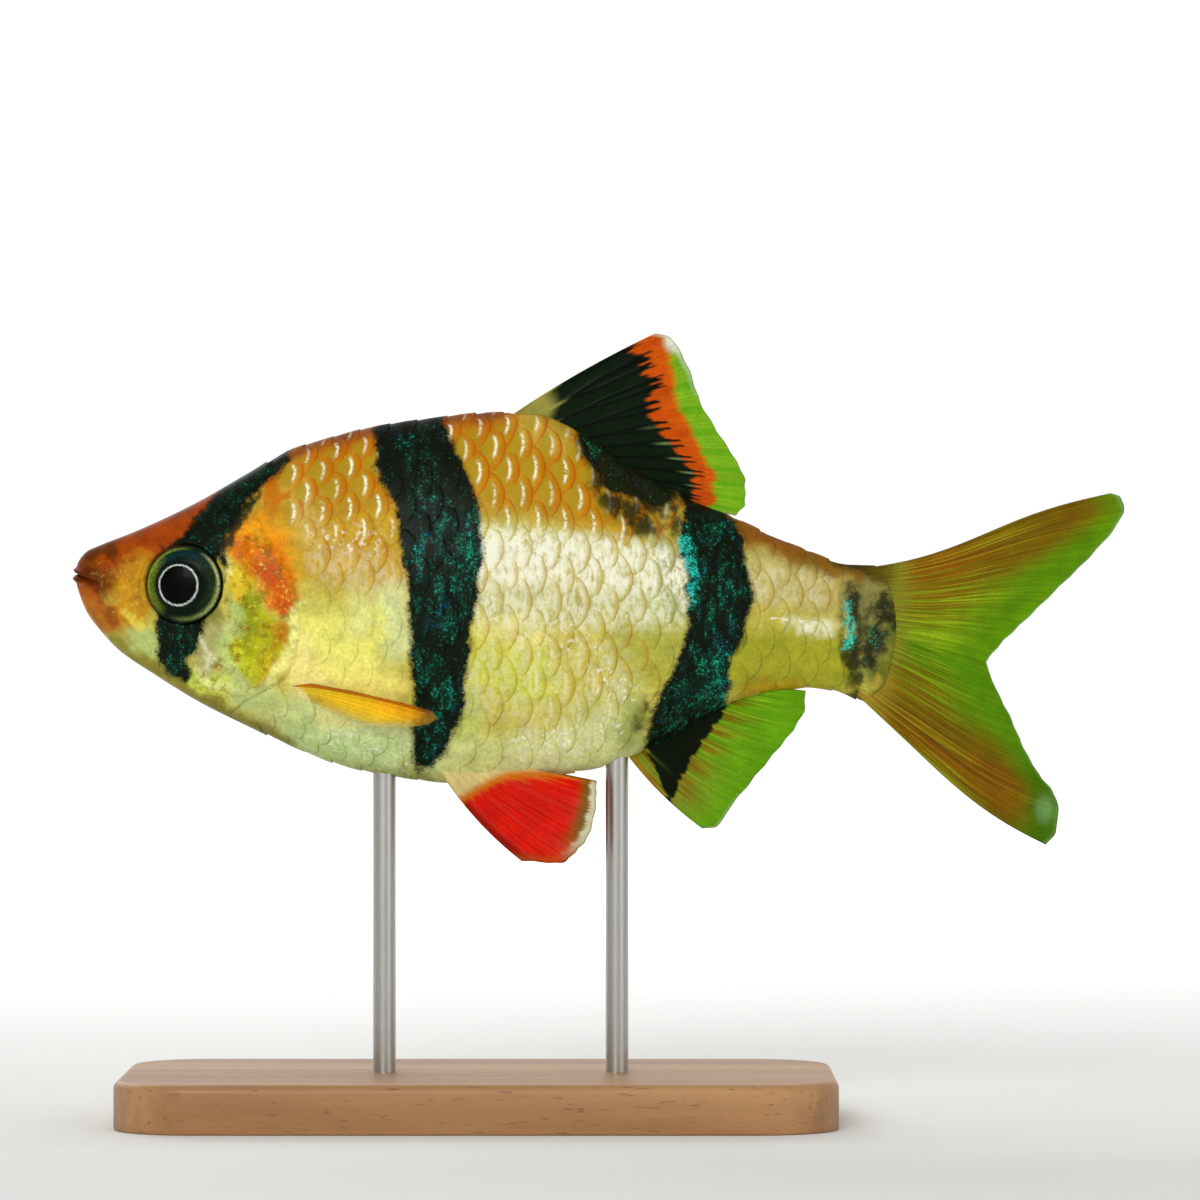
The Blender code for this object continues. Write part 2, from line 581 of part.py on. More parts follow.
def stand_base():
    """A flat plate with round corners and a softened top edge, bored for the rods."""
    bm = bmesh.new()
    size = Matrix.Diagonal((BASE_LENGTH * MM, BASE_WIDTH * MM, BASE_HEIGHT * MM, 1))
    bmesh.ops.create_cube(bm, size=1, matrix=size)
    corners = [e for e in bm.edges if abs(e.verts[0].co.z - e.verts[1].co.z) > MM]
    bmesh.ops.bevel(
        bm, geom=corners, offset=BASE_CORNER * MM, segments=6, profile=0.5, affect="EDGES", material=-1
    )
    top = [e for e in bm.edges if min(v.co.z for v in e.verts) > 0 and len(e.link_faces) == 2
           and {round(abs(f.normal.z)) for f in e.link_faces} == {0, 1}]
    bmesh.ops.bevel(
        bm, geom=top, offset=BASE_BEVEL * MM, segments=3, profile=0.5, affect="EDGES", material=-1
    )
    bmesh.ops.translate(bm, verts=bm.verts, vec=Vector((BASE_SHIFT, 0, BASE_HEIGHT / 2)) * MM)
    made = to_object("stand_base", bm, "wood")
    floor, top = BASE_HEIGHT - ROD_SOCKET - GAP, 2 * BASE_HEIGHT
    holes = [upright("hole", ROD_RADIUS + GAP, rod_x(place), floor, top) for place in ROD_PLACES]
    boolean(made, holes, "DIFFERENCE")


def stand_rod(place):
    """A rod from its hole in the base up to the belly."""
    socket_floor = BASE_HEIGHT - ROD_SOCKET
    made = upright("stand_rod_" + place, ROD_RADIUS, rod_x(place), socket_floor, AXIS_HEIGHT, "steel")
    boolean(made, [body_cutter("rod_trim")], "DIFFERENCE")


def main():
    for old in list(bpy.data.objects):
        bpy.data.objects.remove(old)
    head()
    torso()
    tail_stalk()
    for word, side in (("left", -1), ("right", 1)):
        gill_cover("gill_cover_" + word, side)
        eye("eye_" + word, side)
        fin_solid("pectoral_fin_" + word, PECTORAL, "orange_fin", side)
        fin_solid("pelvic_fin_" + word, PELVIC, "red_fin", side)
    fin_solid("dorsal_fin", DORSAL, "black_fin")
    fin_solid("anal_fin", ANAL, "green_fin")
    fin_solid("tail_fin_upper", TAIL_UPPER, "green_fin")
    fin_solid("tail_fin_lower", TAIL_LOWER, "green_fin")
    stand_base()
    for place in ROD_PLACES:
        stand_rod(place)


main()
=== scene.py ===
"""Looks of the tiger barb: a life-size painted model of the fish, held on two steel rods over a wood base.

Shapes are worked out in fish coordinates, in millimetres: x runs back from the snout, z is measured
from a level axis through the fish, and the fish's left side, which faces the camera, has y below 0.
An angle round the body is 0 on the right side, a quarter turn on the back and half a turn on the left.
"""

import functools
import math

import bmesh
import bpy
import numpy as np
from mathutils import Matrix, Vector


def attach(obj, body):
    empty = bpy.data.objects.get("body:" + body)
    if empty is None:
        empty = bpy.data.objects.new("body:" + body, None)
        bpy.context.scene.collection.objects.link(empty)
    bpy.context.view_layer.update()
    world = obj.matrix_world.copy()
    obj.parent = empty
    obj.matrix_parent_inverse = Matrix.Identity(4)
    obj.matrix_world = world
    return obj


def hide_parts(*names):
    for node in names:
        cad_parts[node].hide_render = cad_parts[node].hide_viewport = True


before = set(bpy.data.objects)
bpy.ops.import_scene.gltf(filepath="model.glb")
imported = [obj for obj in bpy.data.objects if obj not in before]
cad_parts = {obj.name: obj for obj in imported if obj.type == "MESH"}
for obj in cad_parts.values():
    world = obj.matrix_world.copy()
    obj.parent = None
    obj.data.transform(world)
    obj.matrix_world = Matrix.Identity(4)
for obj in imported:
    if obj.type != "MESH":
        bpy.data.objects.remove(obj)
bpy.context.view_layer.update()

MM = 0.001
TOTAL_LENGTH, AXIS_HEIGHT = 65.0, 32.1
QUARTER = math.pi / 2
SMALL_STEP, TINY, FAR_OFF = 0.01, 1e-9, 1e3
SPIN_STEPS = 96
# The photo's width in pixels, and how many millimetres of the fish one pixel shows
PHOTO_PIXELS, PIXEL = 1200, 0.0617
FOCAL_LENGTH, SENSOR_WIDTH = 200.0, 36.0

# The outline of the body from the side, as (x, z), then its widest level and its half width along x
BACK = [
    (0.0, 1.6), (0.12, 2.3), (0.56, 2.84), (1.7, 3.4), (3.5, 4.1), (7.2, 5.8), (10.9, 7.9),
    (13.2, 9.25), (15.9, 10.1), (18.3, 10.7), (21.4, 11.2), (26.6, 11.65), (28.8, 11.5), (30.7, 10.7),
    (32.5, 9.6), (35.0, 7.9), (38.1, 6.3), (41.1, 5.0), (44.9, 3.3), (48.0, 2.35), (51.5, 2.2),
]
BELLY = [
    (0.0, 1.3), (0.12, 0.7), (0.56, -0.3), (1.7, -1.9), (2.9, -3.15), (4.8, -4.45), (7.8, -6.3),
    (10.9, -7.85), (14.0, -9.3), (17.1, -10.4), (20.2, -11.0), (23.3, -11.3), (27.0, -11.1), (32.5, -10.4),
    (34.5, -9.65), (36.8, -8.6), (39.0, -7.3), (41.1, -6.2), (43.3, -5.65), (45.5, -5.5), (47.0, -5.7),
    (48.7, -6.4), (51.5, -7.4),
]
WIDEST = [
    (0.0, 1.45), (3.0, 1.0), (7.0, 0.6), (14.0, 0.0), (22.0, 0.0), (34.0, -0.2), (42.0, -0.8), (51.5, -1.6),
]
HALF_WIDTH = [
    (0.0, 0.3), (0.12, 0.7), (0.56, 1.1), (1.7, 1.55), (3.5, 2.05), (7.0, 2.85), (11.0, 3.55),
    (14.0, 3.95), (18.0, 4.3), (23.0, 4.45), (28.0, 4.25), (34.0, 3.55), (40.0, 2.55), (45.0, 1.7),
    (48.5, 1.1), (50.0, 0.68), (50.9, 0.32), (51.5, 0.18),
]
BACK_TAPER, RIDGE_WIDTH, COAT_DEPTH, COAT_THINS = 0.16, 0.12, 0.2, (46.5, 49.5)
BODY_LENGTH, SNOUT_LENGTH, SCALED_BACK = 51.5, 2.0, 12.0
STALK_END = [(-1.0, 48.8), (-0.64, 50.3), (0.0, 50.9), (0.64, 50.6), (1.0, 49.4)]
STALK_TRIM = (42.0, BODY_LENGTH)
LIPS_CLOSE, CLOSE_TO = (0.06, 0.0, 1.5), 1e-6
SKIN_RINGS, SKIN_AROUND = 400, 200
# Rings are closest at the lips and close over the head, as (share of the rings, x)
RING_PLACES = [(0.0, 0.0), (0.04, 0.12), (0.1, 0.7), (0.52, 15.0), (1.0, BODY_LENGTH)]

# Forms of the head
EYE_X, EYE_Z, EYE_RADIUS, EYE_BULGE, EYE_RIM_DROP, EYE_DEPTH = 7.0, 0.95, 2.4, 0.55, 0.3, 1.3
PUPIL_X, PUPIL_Z, PUPIL_RISE, PUPIL_EDGE = -0.22, -0.06, 0.1, (0.58, 0.4)
EYE_RINGS, EYE_STEP, EYE_DOME, EYE_WALL, EYE_NARROWS = 44, 0.2, 0.96, 0.4, 0.98
ORBIT_RIM, SOCKET_DEPTH, CHEEK_FOLD, CHEEK_RINGS = 0.13, 0.9, 0.05, (3.45, 3.8)
NOSTRILS = [(3.75, 2.55, 0.2), (3.2, 2.4, 0.13)]
NOSTRIL_RIM, NOSTRIL_DEPTH = 0.06, 0.22
MOUTH_FRONT_Z, MOUTH_CORNER_X, MOUTH_CORNER_Z = 1.6, 1.6, 1.0
LIP_OFFSET, LIP_WIDTH, LIP_HEIGHT, CLEFT_WIDTH, CLEFT_DEPTH = 0.28, 0.17, 0.17, 0.06, 0.3
JAW_LINE = [(1.7, 0.9, 0), (2.2, -0.2, 0), (2.3, -1.4, 0)]
JAW_DEPTH, JAW_WIDTH, SNOUT_TUCK = 0.08, 0.12, 0.16
HEAD_EDGE = [
    (-11.5, 6.0), (-9.0, 8.4), (-7.2, 9.6), (-6.1, 11.0), (-5.3, 12.5), (-3.8, 13.7), (-1.5, 14.15),
    (0.9, 13.75), (3.3, 12.5), (4.6, 11.7), (6.0, 11.7), (8.9, 12.3), (11.5, 13.0),
]
COVER_FRONT = [(-6.3, 9.0), (-5.0, 9.3), (-2.6, 9.9), (0.4, 10.5), (3.0, 10.5), (4.8, 11.0)]
COVER_PROUD, COVER_GROOVE, COVER_LOW, COVER_HIGH = 0.22, 0.07, -6.0, 3.9
COVER_FADE, COVER_STEP, COVER_RISE, COVER_ROUND, GROOVE_WIDTH = (0.3, 1.2), (0.08, -0.04), 0.4, 0.5, 0.12
SKIN_STEP, COAT_LOSS, SOCKET_STEP, ORBIT_GAP, ORBIT_WIDTH = (-0.04, 0.1), 0.55, (0.06, -0.1), 0.2, 0.16

# Scale rows: how far apart they lie round the body, their pitch along it and each plate's size
ROW_SPACING = [(8.0, 1.15), (14.0, 1.33), (22.0, 1.55), (30.0, 1.72), (45.0, 1.6), (51.0, 1.35)]
SCALE_PITCH, SCALE_LONG, SCALE_TALL = 1.76, 1.75, 1.16
SCALE_ROWS, SCALE_START, SCALE_STOP = range(-11, 12), 5.5, 50.0
SCALE_SCATTER, SCALE_VARIES, TILT_VARIES = 0.06, 0.04, 0.02
SCALES_LATE, LATE_SHRINK, LATE_SINK, FIRST_SCALES, LAST_SCALES = (43.0, 49.0), 0.25, 0.1, 0.1, 2.0
GIRTH_STEPS, GIRTH_STEP, PAST_RIDGE = 60, 0.02, 0.3
PLATE_SIDES, PLATE_THICK, PLATE_CAMBER = 18, 0.05, 0.056
PLATE_FRONT, PLATE_REAR, PLATE_ROUND, PLATE_BACK = -0.2, -0.015, 0.06, 0.14
# Each plate's rim steps up towards its middle, as (inset, rise)
PLATE_STEPS = [(0.1, 0.25), (0.3, 0.4), (0.32, 0.15)]
# The scales' unwrap: a patch's size, the snout's place, the body's length and half its height, and
# how many patches aside of its top each underside lies
PATCH, PATCH_START, PATCH_LENGTH, PATCH_HEIGHT, UNDERSIDE = 0.003, 0.03, 0.94, 0.44, 1.3

# Fins. Rays run from a root line to a margin, both as (share across the fin, x, y, z). A bow bends
# them in the fin's plane, a sway is its S shape, a wave ripples the outer half and a lift arches them.
STRAIGHT = dict(sway=(0.0, 0.0), wave=0.0, lift=0.0)
DORSAL = dict(
    STRAIGHT, rays=11, rows=90, columns=16, root=0.5, bow=(0.28, -0.1), wave=0.35, turn=1,
    roots=[(0, 25.6, 0, 10.4), (0.5, 30.6, 0, 9.3), (1, 35.4, 0, 6.6)],
    tips=[(0, 35.9, 0, 16.45), (0.05, 36.7, 0, 16.35), (0.1, 37.4, 0, 15.5), (0.2, 38.1, 0, 14.1),
          (0.32, 38.7, 0, 12.3), (0.45, 39.8, 0, 10.4), (0.6, 41.0, 0, 8.5), (0.72, 41.5, 0, 7.3),
          (0.87, 41.5, 0, 6.0), (1, 40.9, 0, 5.2)],
)
ANAL = dict(
    STRAIGHT, rays=8, rows=76, columns=18, root=0.45, bow=(0.3, 0.0), wave=-0.3, turn=-1,
    roots=[(0, 33.7, 0, -8.9), (0.5, 37.2, 0, -7.3), (1, 40.6, 0, -5.0)],
    tips=[(0, 38.8, 0, -14.1), (0.06, 39.6, 0, -14.1), (0.15, 40.5, 0, -12.9), (0.35, 42.1, 0, -10.9),
          (0.55, 43.5, 0, -9.2), (0.75, 44.6, 0, -7.8), (0.9, 45.2, 0, -6.5), (1, 45.2, 0, -5.6)],
)
TAIL_UPPER = dict(
    STRAIGHT, rays=10, rows=120, columns=16, root=0.5, bow=(-0.2, 0.1), sway=(-0.3, 0.0), wave=0.5, turn=1,
    roots=[(0, 48.2, 0, 1.9), (0.5, 49.6, 0, 0.3), (1, 49.6, 0, -2.2)],
    tips=[(0, 64.0, 0, 6.6), (0.04, 64.65, 0, 6.4), (0.08, 64.9, 0, 5.75), (0.15, 64.6, 0, 4.9),
          (0.3, 63.1, 0, 3.0), (0.5, 60.9, 0, 0.8), (0.7, 58.7, 0, -1.35), (0.87, 57.2, 0, -2.8),
          (1, 56.3, 0, -3.9)],
)
TAIL_LOWER = dict(
    STRAIGHT, rays=9, rows=100, columns=16, root=0.5, bow=(0.0, 0.62), sway=(0.0, -0.15), wave=-0.4, turn=-1,
    roots=[(0, 49.6, 0, -1.95), (0.5, 49.3, 0, -4.3), (1, 48.2, 0, -5.7)],
    tips=[(0, 56.3, 0, -3.75), (0.1, 57.0, 0, -5.55), (0.25, 57.8, 0, -7.15), (0.45, 58.7, 0, -9.2),
          (0.65, 59.7, 0, -10.9), (0.8, 60.5, 0, -11.9), (0.88, 60.8, 0, -12.9), (0.95, 60.7, 0, -14.3),
          (1, 60.0, 0, -15.1)],
)
PELVIC = dict(
    STRAIGHT, rays=9, rows=60, columns=12, root=0.4, bow=(0.35, 0.0), turn=-1,
    roots=[(0, 22.5, 1.2, -10.3), (1, 25.6, 0.9, -9.8)],
    tips=[(0, 27.7, 2.9, -16.0), (0.2, 30.0, 3.0, -16.15), (0.4, 31.1, 2.9, -15.4), (0.6, 31.9, 2.6, -14.3),
          (0.8, 32.3, 2.2, -12.4), (1, 32.3, 1.7, -11.2)],
)
PECTORAL = dict(
    STRAIGHT, rays=9, rows=60, columns=12, root=0.3, bow=(0.2, 0.0), lift=0.6, turn=1,
    roots=[(0, 13.1, 2.5, -5.0), (1, 14.2, 2.1, -6.0)],
    tips=[(0, 22.4, 6.2, -6.8), (0.12, 22.6, 6.0, -7.2), (0.35, 21.5, 5.6, -7.7), (0.7, 19.3, 4.9, -7.8),
          (1, 17.4, 4.4, -7.3)],
)
MEMBRANE_HALF, RAY_HALF, NOTCH, LEADING_EDGE = 0.05, 0.075, 0.08, 0.1
LEADING_WIDTH, LEADING_THINS, RAY_THINS = 0.025, 0.7, 0.55
JOINT_LENGTH, JOINT_DEPTH, JOINT_SHAPE, JOINTS_START = 0.42, 0.3, (0.55, 0.9), (0.25, 0.4)
FILLET_REACH, EDGE_REACH, MARGIN_REACH, ROOT_REACH, FIN_STEP = 0.28, 0.012, 0.015, 0.02, 0.004
# How far a ray's halves part at each fork, where along it they do, and how wide and tapered a ray is
FORK, FORK_PLACE, TWIG, TWIG_PLACE = 0.17, (0.3, 0.6), 0.085, (0.62, 0.9)
RAY_WIDTH, RAY_TAPER = 0.095, 0.035

# Stand
BASE_LENGTH, BASE_WIDTH, BASE_HEIGHT = 44.0, 24.0, 3.0
BASE_CORNER, BASE_BEVEL, BASE_CHAMFER, BASE_SHIFT = 5.0, 0.5, 0.15, -7.5
ROD_RADIUS, ROD_SOCKET, ROD_INSIDE = 0.7, 1.5, 0.5
CORNER_CUTS, BEVEL_CUTS, CHAMFER_CUTS, ROD_SIDES, STAND_SHARP = 16, 6, 2, 48, 50
ROD_PLACES = {"front": 19.2, "rear": 33.55}

# Paints by their look, as sRGB
PAINTS = {
    "cream": "#C8BC50", "pale_lemon": "#EEEA74", "mint_cream": "#C6D68A", "gold": "#C89E1A",
    "amber": "#BE8A0A", "orange": "#C06204", "red_orange": "#CC4E04", "brown_red": "#642405",
    "silver": "#E2E0AC", "olive": "#86822A", "moss": "#9AA040", "ink": "#0B1306", "smoke": "#1A1C08",
    "deep_green": "#083C30", "teal": "#26B09E", "jade": "#127A5A", "sapphire": "#0E4C7C",
    "lime": "#9CC42A", "fin_brown": "#80540A", "scarlet": "#DE1300", "white": "#E4E2CC",
    "yellow": "#FFD222", "lemon": "#F2EE8C", "grass": "#B2B044",
}
# Painted edges wander by waves of (size, turns along x, turns along z, phase), first along x, then z
WANDERING = [
    [(1.0, 0.7, 1.9, 0), (0.6, -2.9, 4.3, 1), (0.4, 9.1, 7.3, 2)],
    [(1.0, 2.3, -0.9, 3), (0.6, 4.9, 3.1, 0), (0.4, -6.7, 8.3, 1)],
]
PAINT_WANDERS, BANDS_WANDER, GLITTER_WANDERS = 0.17, 0.07, 0.15

# Airbrush strokes on the body, in order: paint, strength, softness, then (x, z, half width) points
BODY_STROKES = [
    ("moss", 1.0, 2.2, [(10, -9.5, 0.6), (18, -11.2, 0.4), (30, -11.0, 0.2), (36, -9.3, 0.2)]),
    ("mint_cream", 0.8, 2.0, [(15, -8.0, 1.0), (20, -9.0, 1.0), (22, -9.5, 0.8)]),
    ("pale_lemon", 0.95, 2.0, [(15.4, -2.2, 0.7), (17.2, -3.6, 1.2), (18.4, -1.6, 0.7)]),
    ("#DCE6A4", 0.75, 0.8, [(19.8, 2.6, 0.2), (19.9, 0.4, 0.5), (20.3, -2.8, 0.5)]),
    ("#E6E89C", 0.5, 0.8, [(18.0, 1.2, 0.2), (17.7, -1.4, 0.4)]),
    # Painted light: a paler patch on the lower breast, lifting the shade where the body turns under
    ("#DDEBA6", 0.8, 1.2, [(16.4, -7.7, 0.6), (19.6, -8.6, 0.7)]),
    ("gold", 0.95, 2.2, [(14.5, 3.6, 1.5), (18, 3.4, 1.6), (20.5, 3.4, 1.2)]),
    ("amber", 0.95, 2.0, [(13, 6.6, 0.9), (17, 8.0, 1.8), (23, 8.6, 2.0), (29, 8.4, 2.4), (34, 6.2, 1.4)]),
    ("orange", 0.85, 1.6, [(12, 8.6, 0.3), (16, 10.2, 0.5), (21, 11.2, 0.5), (26, 11.7, 0.4)]),
    ("#7C4004", 0.95, 0.9, [(13.4, 9.5, 0.2), (17, 10.6, 0.3), (20, 11.2, 0.3), (26.5, 11.9, 0.2)]),
    ("#CCAE42", 0.85, 1.0, [(28.4, 10.4, 0.4), (30.2, 9.8, 0.4)]),
    ("#D6A434", 0.8, 0.8, [(12.2, 6.0, 0.3), (14.0, 7.8, 0.4)]),
    ("#DCC060", 0.7, 0.9, [(14.4, 5.8, 0.4), (14.8, 4.2, 0.4)]),
    ("silver", 0.8, 1.3, [(26, 2.4, 0.9), (30, 2.1, 1.0), (34, 1.6, 0.9), (37, 1.0, 0.8)]),
    ("#C6C880", 0.75, 1.0, [(26, -0.2, 0.6), (31, -0.4, 0.6), (37.4, -0.2, 0.6)]),
    ("#C4D08C", 0.6, 1.0, [(34.5, -1.6, 0.5), (36.8, -2.2, 0.6)]),
    ("#CBBE40", 0.85, 1.8, [(25.6, -3.8, 1.4), (31, -4.6, 1.6), (34, -3.4, 1.4)]),
    ("#CED640", 0.7, 1.5, [(25.6, -3.6, 0.7), (28.5, -4.8, 0.9)]),
    ("#BCC468", 0.7, 1.2, [(32.5, -7.0, 0.8), (34.6, -5.8, 0.5)]),
    # Painted light: pale strokes along the belly's underside, over its own pale tone, lifting the shade
    # where the body turns under
    ("#D6DE8E", 0.9, 1.3, [(23.9, -9.9, 1.0), (28, -9.8, 0.9), (31, -9.4, 1.0), (33.6, -8.8, 1.0)]),
    ("#DCE29A", 0.9, 0.8, [(24.4, -11.2, 0.3), (30.0, -10.8, 0.3), (34.2, -9.8, 0.3)]),
    ("#7E8E3C", 0.7, 0.8, [(34.6, -7.0, 0.3), (34.4, -8.4, 0.3)]),
    ("#BACA68", 0.7, 0.8, [(24.5, -5.6, 0.4), (24.3, -8.0, 0.4)]),
    # Painted light: a paler patch on the breast under the pectoral fin, where the fin's shadow falls
    ("#F2EC96", 0.8, 0.8, [(13.9, -6.3, 0.4), (17.0, -7.1, 0.4)]),
    ("#C2DE90", 0.85, 1.0, [(13.8, -8.5, 0.4), (16.2, -9.1, 0.5), (19.4, -9.5, 0.5)]),
    ("#788028", 0.7, 0.6, [(19.0, -11.1, 0.2), (22.4, -11.4, 0.2)]),
    ("#7E7C22", 0.85, 0.8, [(8.4, -6.9, 0.3), (10.8, -7.9, 0.4), (12.8, -8.9, 0.3)]),
    ("#FEF080", 0.85, 0.9, [(15.0, -4.6, 0.5), (18.0, -5.0, 0.5), (19.6, -5.4, 0.4)]),
    ("#BED08C", 0.7, 1.0, [(34.4, -0.1, 0.5), (36.8, -0.6, 0.6)]),
    ("#98A060", 0.9, 0.9, [(36.4, 3.4, 0.4), (36.8, 1.6, 0.3), (37.1, -0.6, 0.2)]),
    ("#FAF9DC", 0.8, 1.0, [(25.6, 2.4, 0.6), (28.4, 2.1, 0.6)]),
    ("#EEE88C", 0.7, 0.9, [(25.8, -1.7, 0.4), (28.4, -2.0, 0.5)]),
    ("grass", 0.9, 1.2, [(34.2, -2.5, 0.8), (36.8, -3.6, 1.0), (37.0, -2.0, 0.7)]),
    ("#BDAE5A", 0.95, 1.5, [(41.8, 1.6, 1.2), (46, 0.6, 0.9), (49, 0.2, 0.7)]),
    ("#A4A428", 0.95, 1.3, [(41.8, -3.8, 1.4), (47, -3.9, 1.2)]),
    ("#8E4E04", 0.95, 1.0, [(36, 7.4, 0.3), (41.5, 4.8, 0.75), (45, 3.2, 0.5), (48.6, 2.3, 0.3)]),
    ("#E4E2B4", 0.8, 0.4, [(44.0, -1.35, 0.0), (46.4, -1.8, 0.2)]),
    ("amber", 0.6, 0.5, [(41.5, -5.6, 0.2), (44.5, -5.3, 0.2)]),
    ("#7C7A44", 0.8, 0.9, [(48.8, 1.2, 0.3), (49.0, -1.5, 0.6), (49.0, -4.0, 0.4)]),
    ("#6C7020", 0.95, 1.2, [
        (50.2, 2.4, 0.3), (51.2, 0.0, 0.6), (51.2, -3.0, 0.7), (50.6, -5.0, 0.8), (49.9, -6.8, 0.8),
    ]),
    ("#805806", 0.85, 0.6, [(44.5, 2.7, 0.2), (46.4, 2.1, 0.35), (48.2, 1.6, 0.25)]),
    ("#5E4A12", 0.9, 0.8, [(47.4, 2.5, 0.2), (49.4, 2.0, 0.35), (50.6, 1.2, 0.3), (50.9, 0.4, 0.1)]),
    ("#C0A83C", 0.6, 0.2, [(49.8, -4.4, 0.05), (49.4, -5.2, 0.1), (49.0, -5.4, 0.05)]),
    ("#7E3A04", 1.0, 1.3, [
        (0, 1.4, 0.9), (2.0, 2.2, 1.2), (5.0, 3.8, 1.2), (8.5, 5.8, 1.0), (11.5, 8.1, 0.6),
    ]),
    ("#AC4604", 0.85, 0.9, [(2.0, 2.6, 0.3), (4.5, 3.4, 0.5), (7.0, 4.4, 0.5), (9.5, 6.3, 0.3)]),
    ("#5E2E04", 0.9, 0.7, [(0.7, 2.9, 0.2), (2.2, 3.3, 0.45)]),
    ("#C87812", 0.8, 0.6, [(3.9, 2.6, 0.3), (4.8, 2.5, 0.2)]),
    ("#B8921E", 0.8, 0.5, [(4.6, 2.0, 0.2), (4.4, 1.2, 0.2)]),
    ("#C68A12", 0.9, 1.0, [(3.6, 1.3, 0.6), (4.0, -0.2, 0.7), (3.5, -1.0, 0.5)]),
    ("#B25408", 0.85, 0.8, [(1.0, 0.3, 0.5), (2.1, -1.2, 0.6)]),
    ("olive", 0.8, 1.0, [(2.6, -2.9, 0.3), (5.2, -4.4, 0.5), (8.6, -6.2, 0.5)]),
    ("#B7C878", 0.9, 0.7, [(4.1, -2.2, 0.4), (5.1, -2.9, 0.45)]),
    ("#E0D450", 0.7, 0.3, [(3.4, -0.9, 0.08), (4.6, -1.7, 0.12)]),
    ("#B4B070", 0.85, 0.9, [(8.9, -1.9, 0.4), (8.4, -2.9, 0.5), (8.2, -4.0, 0.4)]),
    ("#6A661E", 0.65, 0.5, [(8.2, -1.6, 0.2), (8.9, -0.9, 0.2)]),
    ("#B8D07C", 0.8, 0.9, [(10.4, -0.4, 0.2), (9.9, -2.4, 0.3), (9.9, -4.2, 0.5)]),
    ("#E2E8C0", 0.7, 0.3, [(8.1, -2.6, 0.1), (8.6, -3.3, 0.12), (8.2, -4.0, 0.1)]),
    ("#CEE05C", 0.85, 0.5, [(7.7, -4.9, 0.3), (9.6, -5.4, 0.4), (11.6, -6.4, 0.3)]),
    ("#EEF29A", 0.7, 0.25, [(7.6, -4.3, 0.08), (8.8, -5.2, 0.1), (10.4, -5.6, 0.08)]),
    ("mint_cream", 0.8, 0.9, [(10.6, -5.6, 0.5), (12.4, -6.6, 0.6), (14.2, -7.2, 0.6)]),
    ("#F09C0A", 1.0, 0.9, [(10.1, 3.5, 0.5), (11.4, 4.2, 0.7), (12.4, 3.2, 0.7), (13.0, 1.8, 0.4)]),
    ("#DC7006", 0.95, 0.8, [(10.8, 2.7, 0.5), (12.2, 2.0, 0.9), (12.9, 0.4, 0.6)]),
    ("#D4B818", 0.85, 0.6, [(10.3, 1.7, 0.3), (10.8, 0.6, 0.4)]),
    ("#8E9A12", 0.95, 0.8, [(11.3, -0.2, 0.3), (11.4, -1.6, 0.45), (11.1, -3.0, 0.5)]),
    ("#B4B418", 0.9, 0.8, [(12.3, -1.6, 0.5), (12.2, -3.2, 0.6), (11.4, -4.3, 0.5)]),
    ("#C4CE20", 0.85, 0.5, [(10.3, -2.9, 0.25), (10.6, -3.9, 0.3)]),
    ("#CDB416", 0.7, 0.4, [(12.9, -2.9, 0.3), (12.5, -4.0, 0.35), (11.8, -4.7, 0.3)]),
    ("#C8820E", 0.85, 0.5, [(12.9, -1.7, 0.3), (12.8, -2.4, 0.25)]),
    ("#DE6A06", 0.6, 0.6, [(10.8, 3.5, 0.15), (12.0, 2.9, 0.3)]),
    ("#E8A018", 0.8, 0.35, [(10.9, 4.7, 0.1), (11.6, 4.4, 0.2), (11.9, 3.9, 0.1)]),
    ("#CE4A04", 0.85, 0.7, [(11.8, 1.7, 0.25), (12.5, 1.3, 0.3)]),
    ("#CE4A04", 0.9, 0.45, [(13.1, 0.1, 0.15), (13.4, -0.6, 0.2)]),
    ("#E6C42C", 0.75, 0.35, [(10.3, 1.5, 0.2), (10.5, 0.5, 0.25)]),
    ("#F8E68C", 0.85, 0.8, [(14.4, -2.4, 0.1), (14.1, -4.8, 0.4), (15.8, -5.8, 0.4)]),
    # Partly the gill cover's pale rim, partly a painted highlight: a thin lemon line along the cover's edge
    ("lemon", 0.95, 0.3, [(14.0, -0.6, 0.1), (13.75, -2.7, 0.18), (13.1, -4.1, 0.18), (12.0, -5.3, 0.12)]),
    ("lemon", 0.7, 0.15, [(9.6, 2.2, 0.06), (9.65, 1.2, 0.06)]),
    ("brown_red", 0.9, 0.5, [(0.0, 1.6, 0.3), (0.8, 1.45, 0.22), (1.7, 0.95, 0.1)]),
    ("brown_red", 0.5, 0.4, [(1.7, 0.9, 0.15), (2.1, 0.2, 0.12)]),
    ("brown_red", 0.45, 0.4, [(2.2, -0.6, 0.15), (2.5, -1.2, 0.2)]),
]
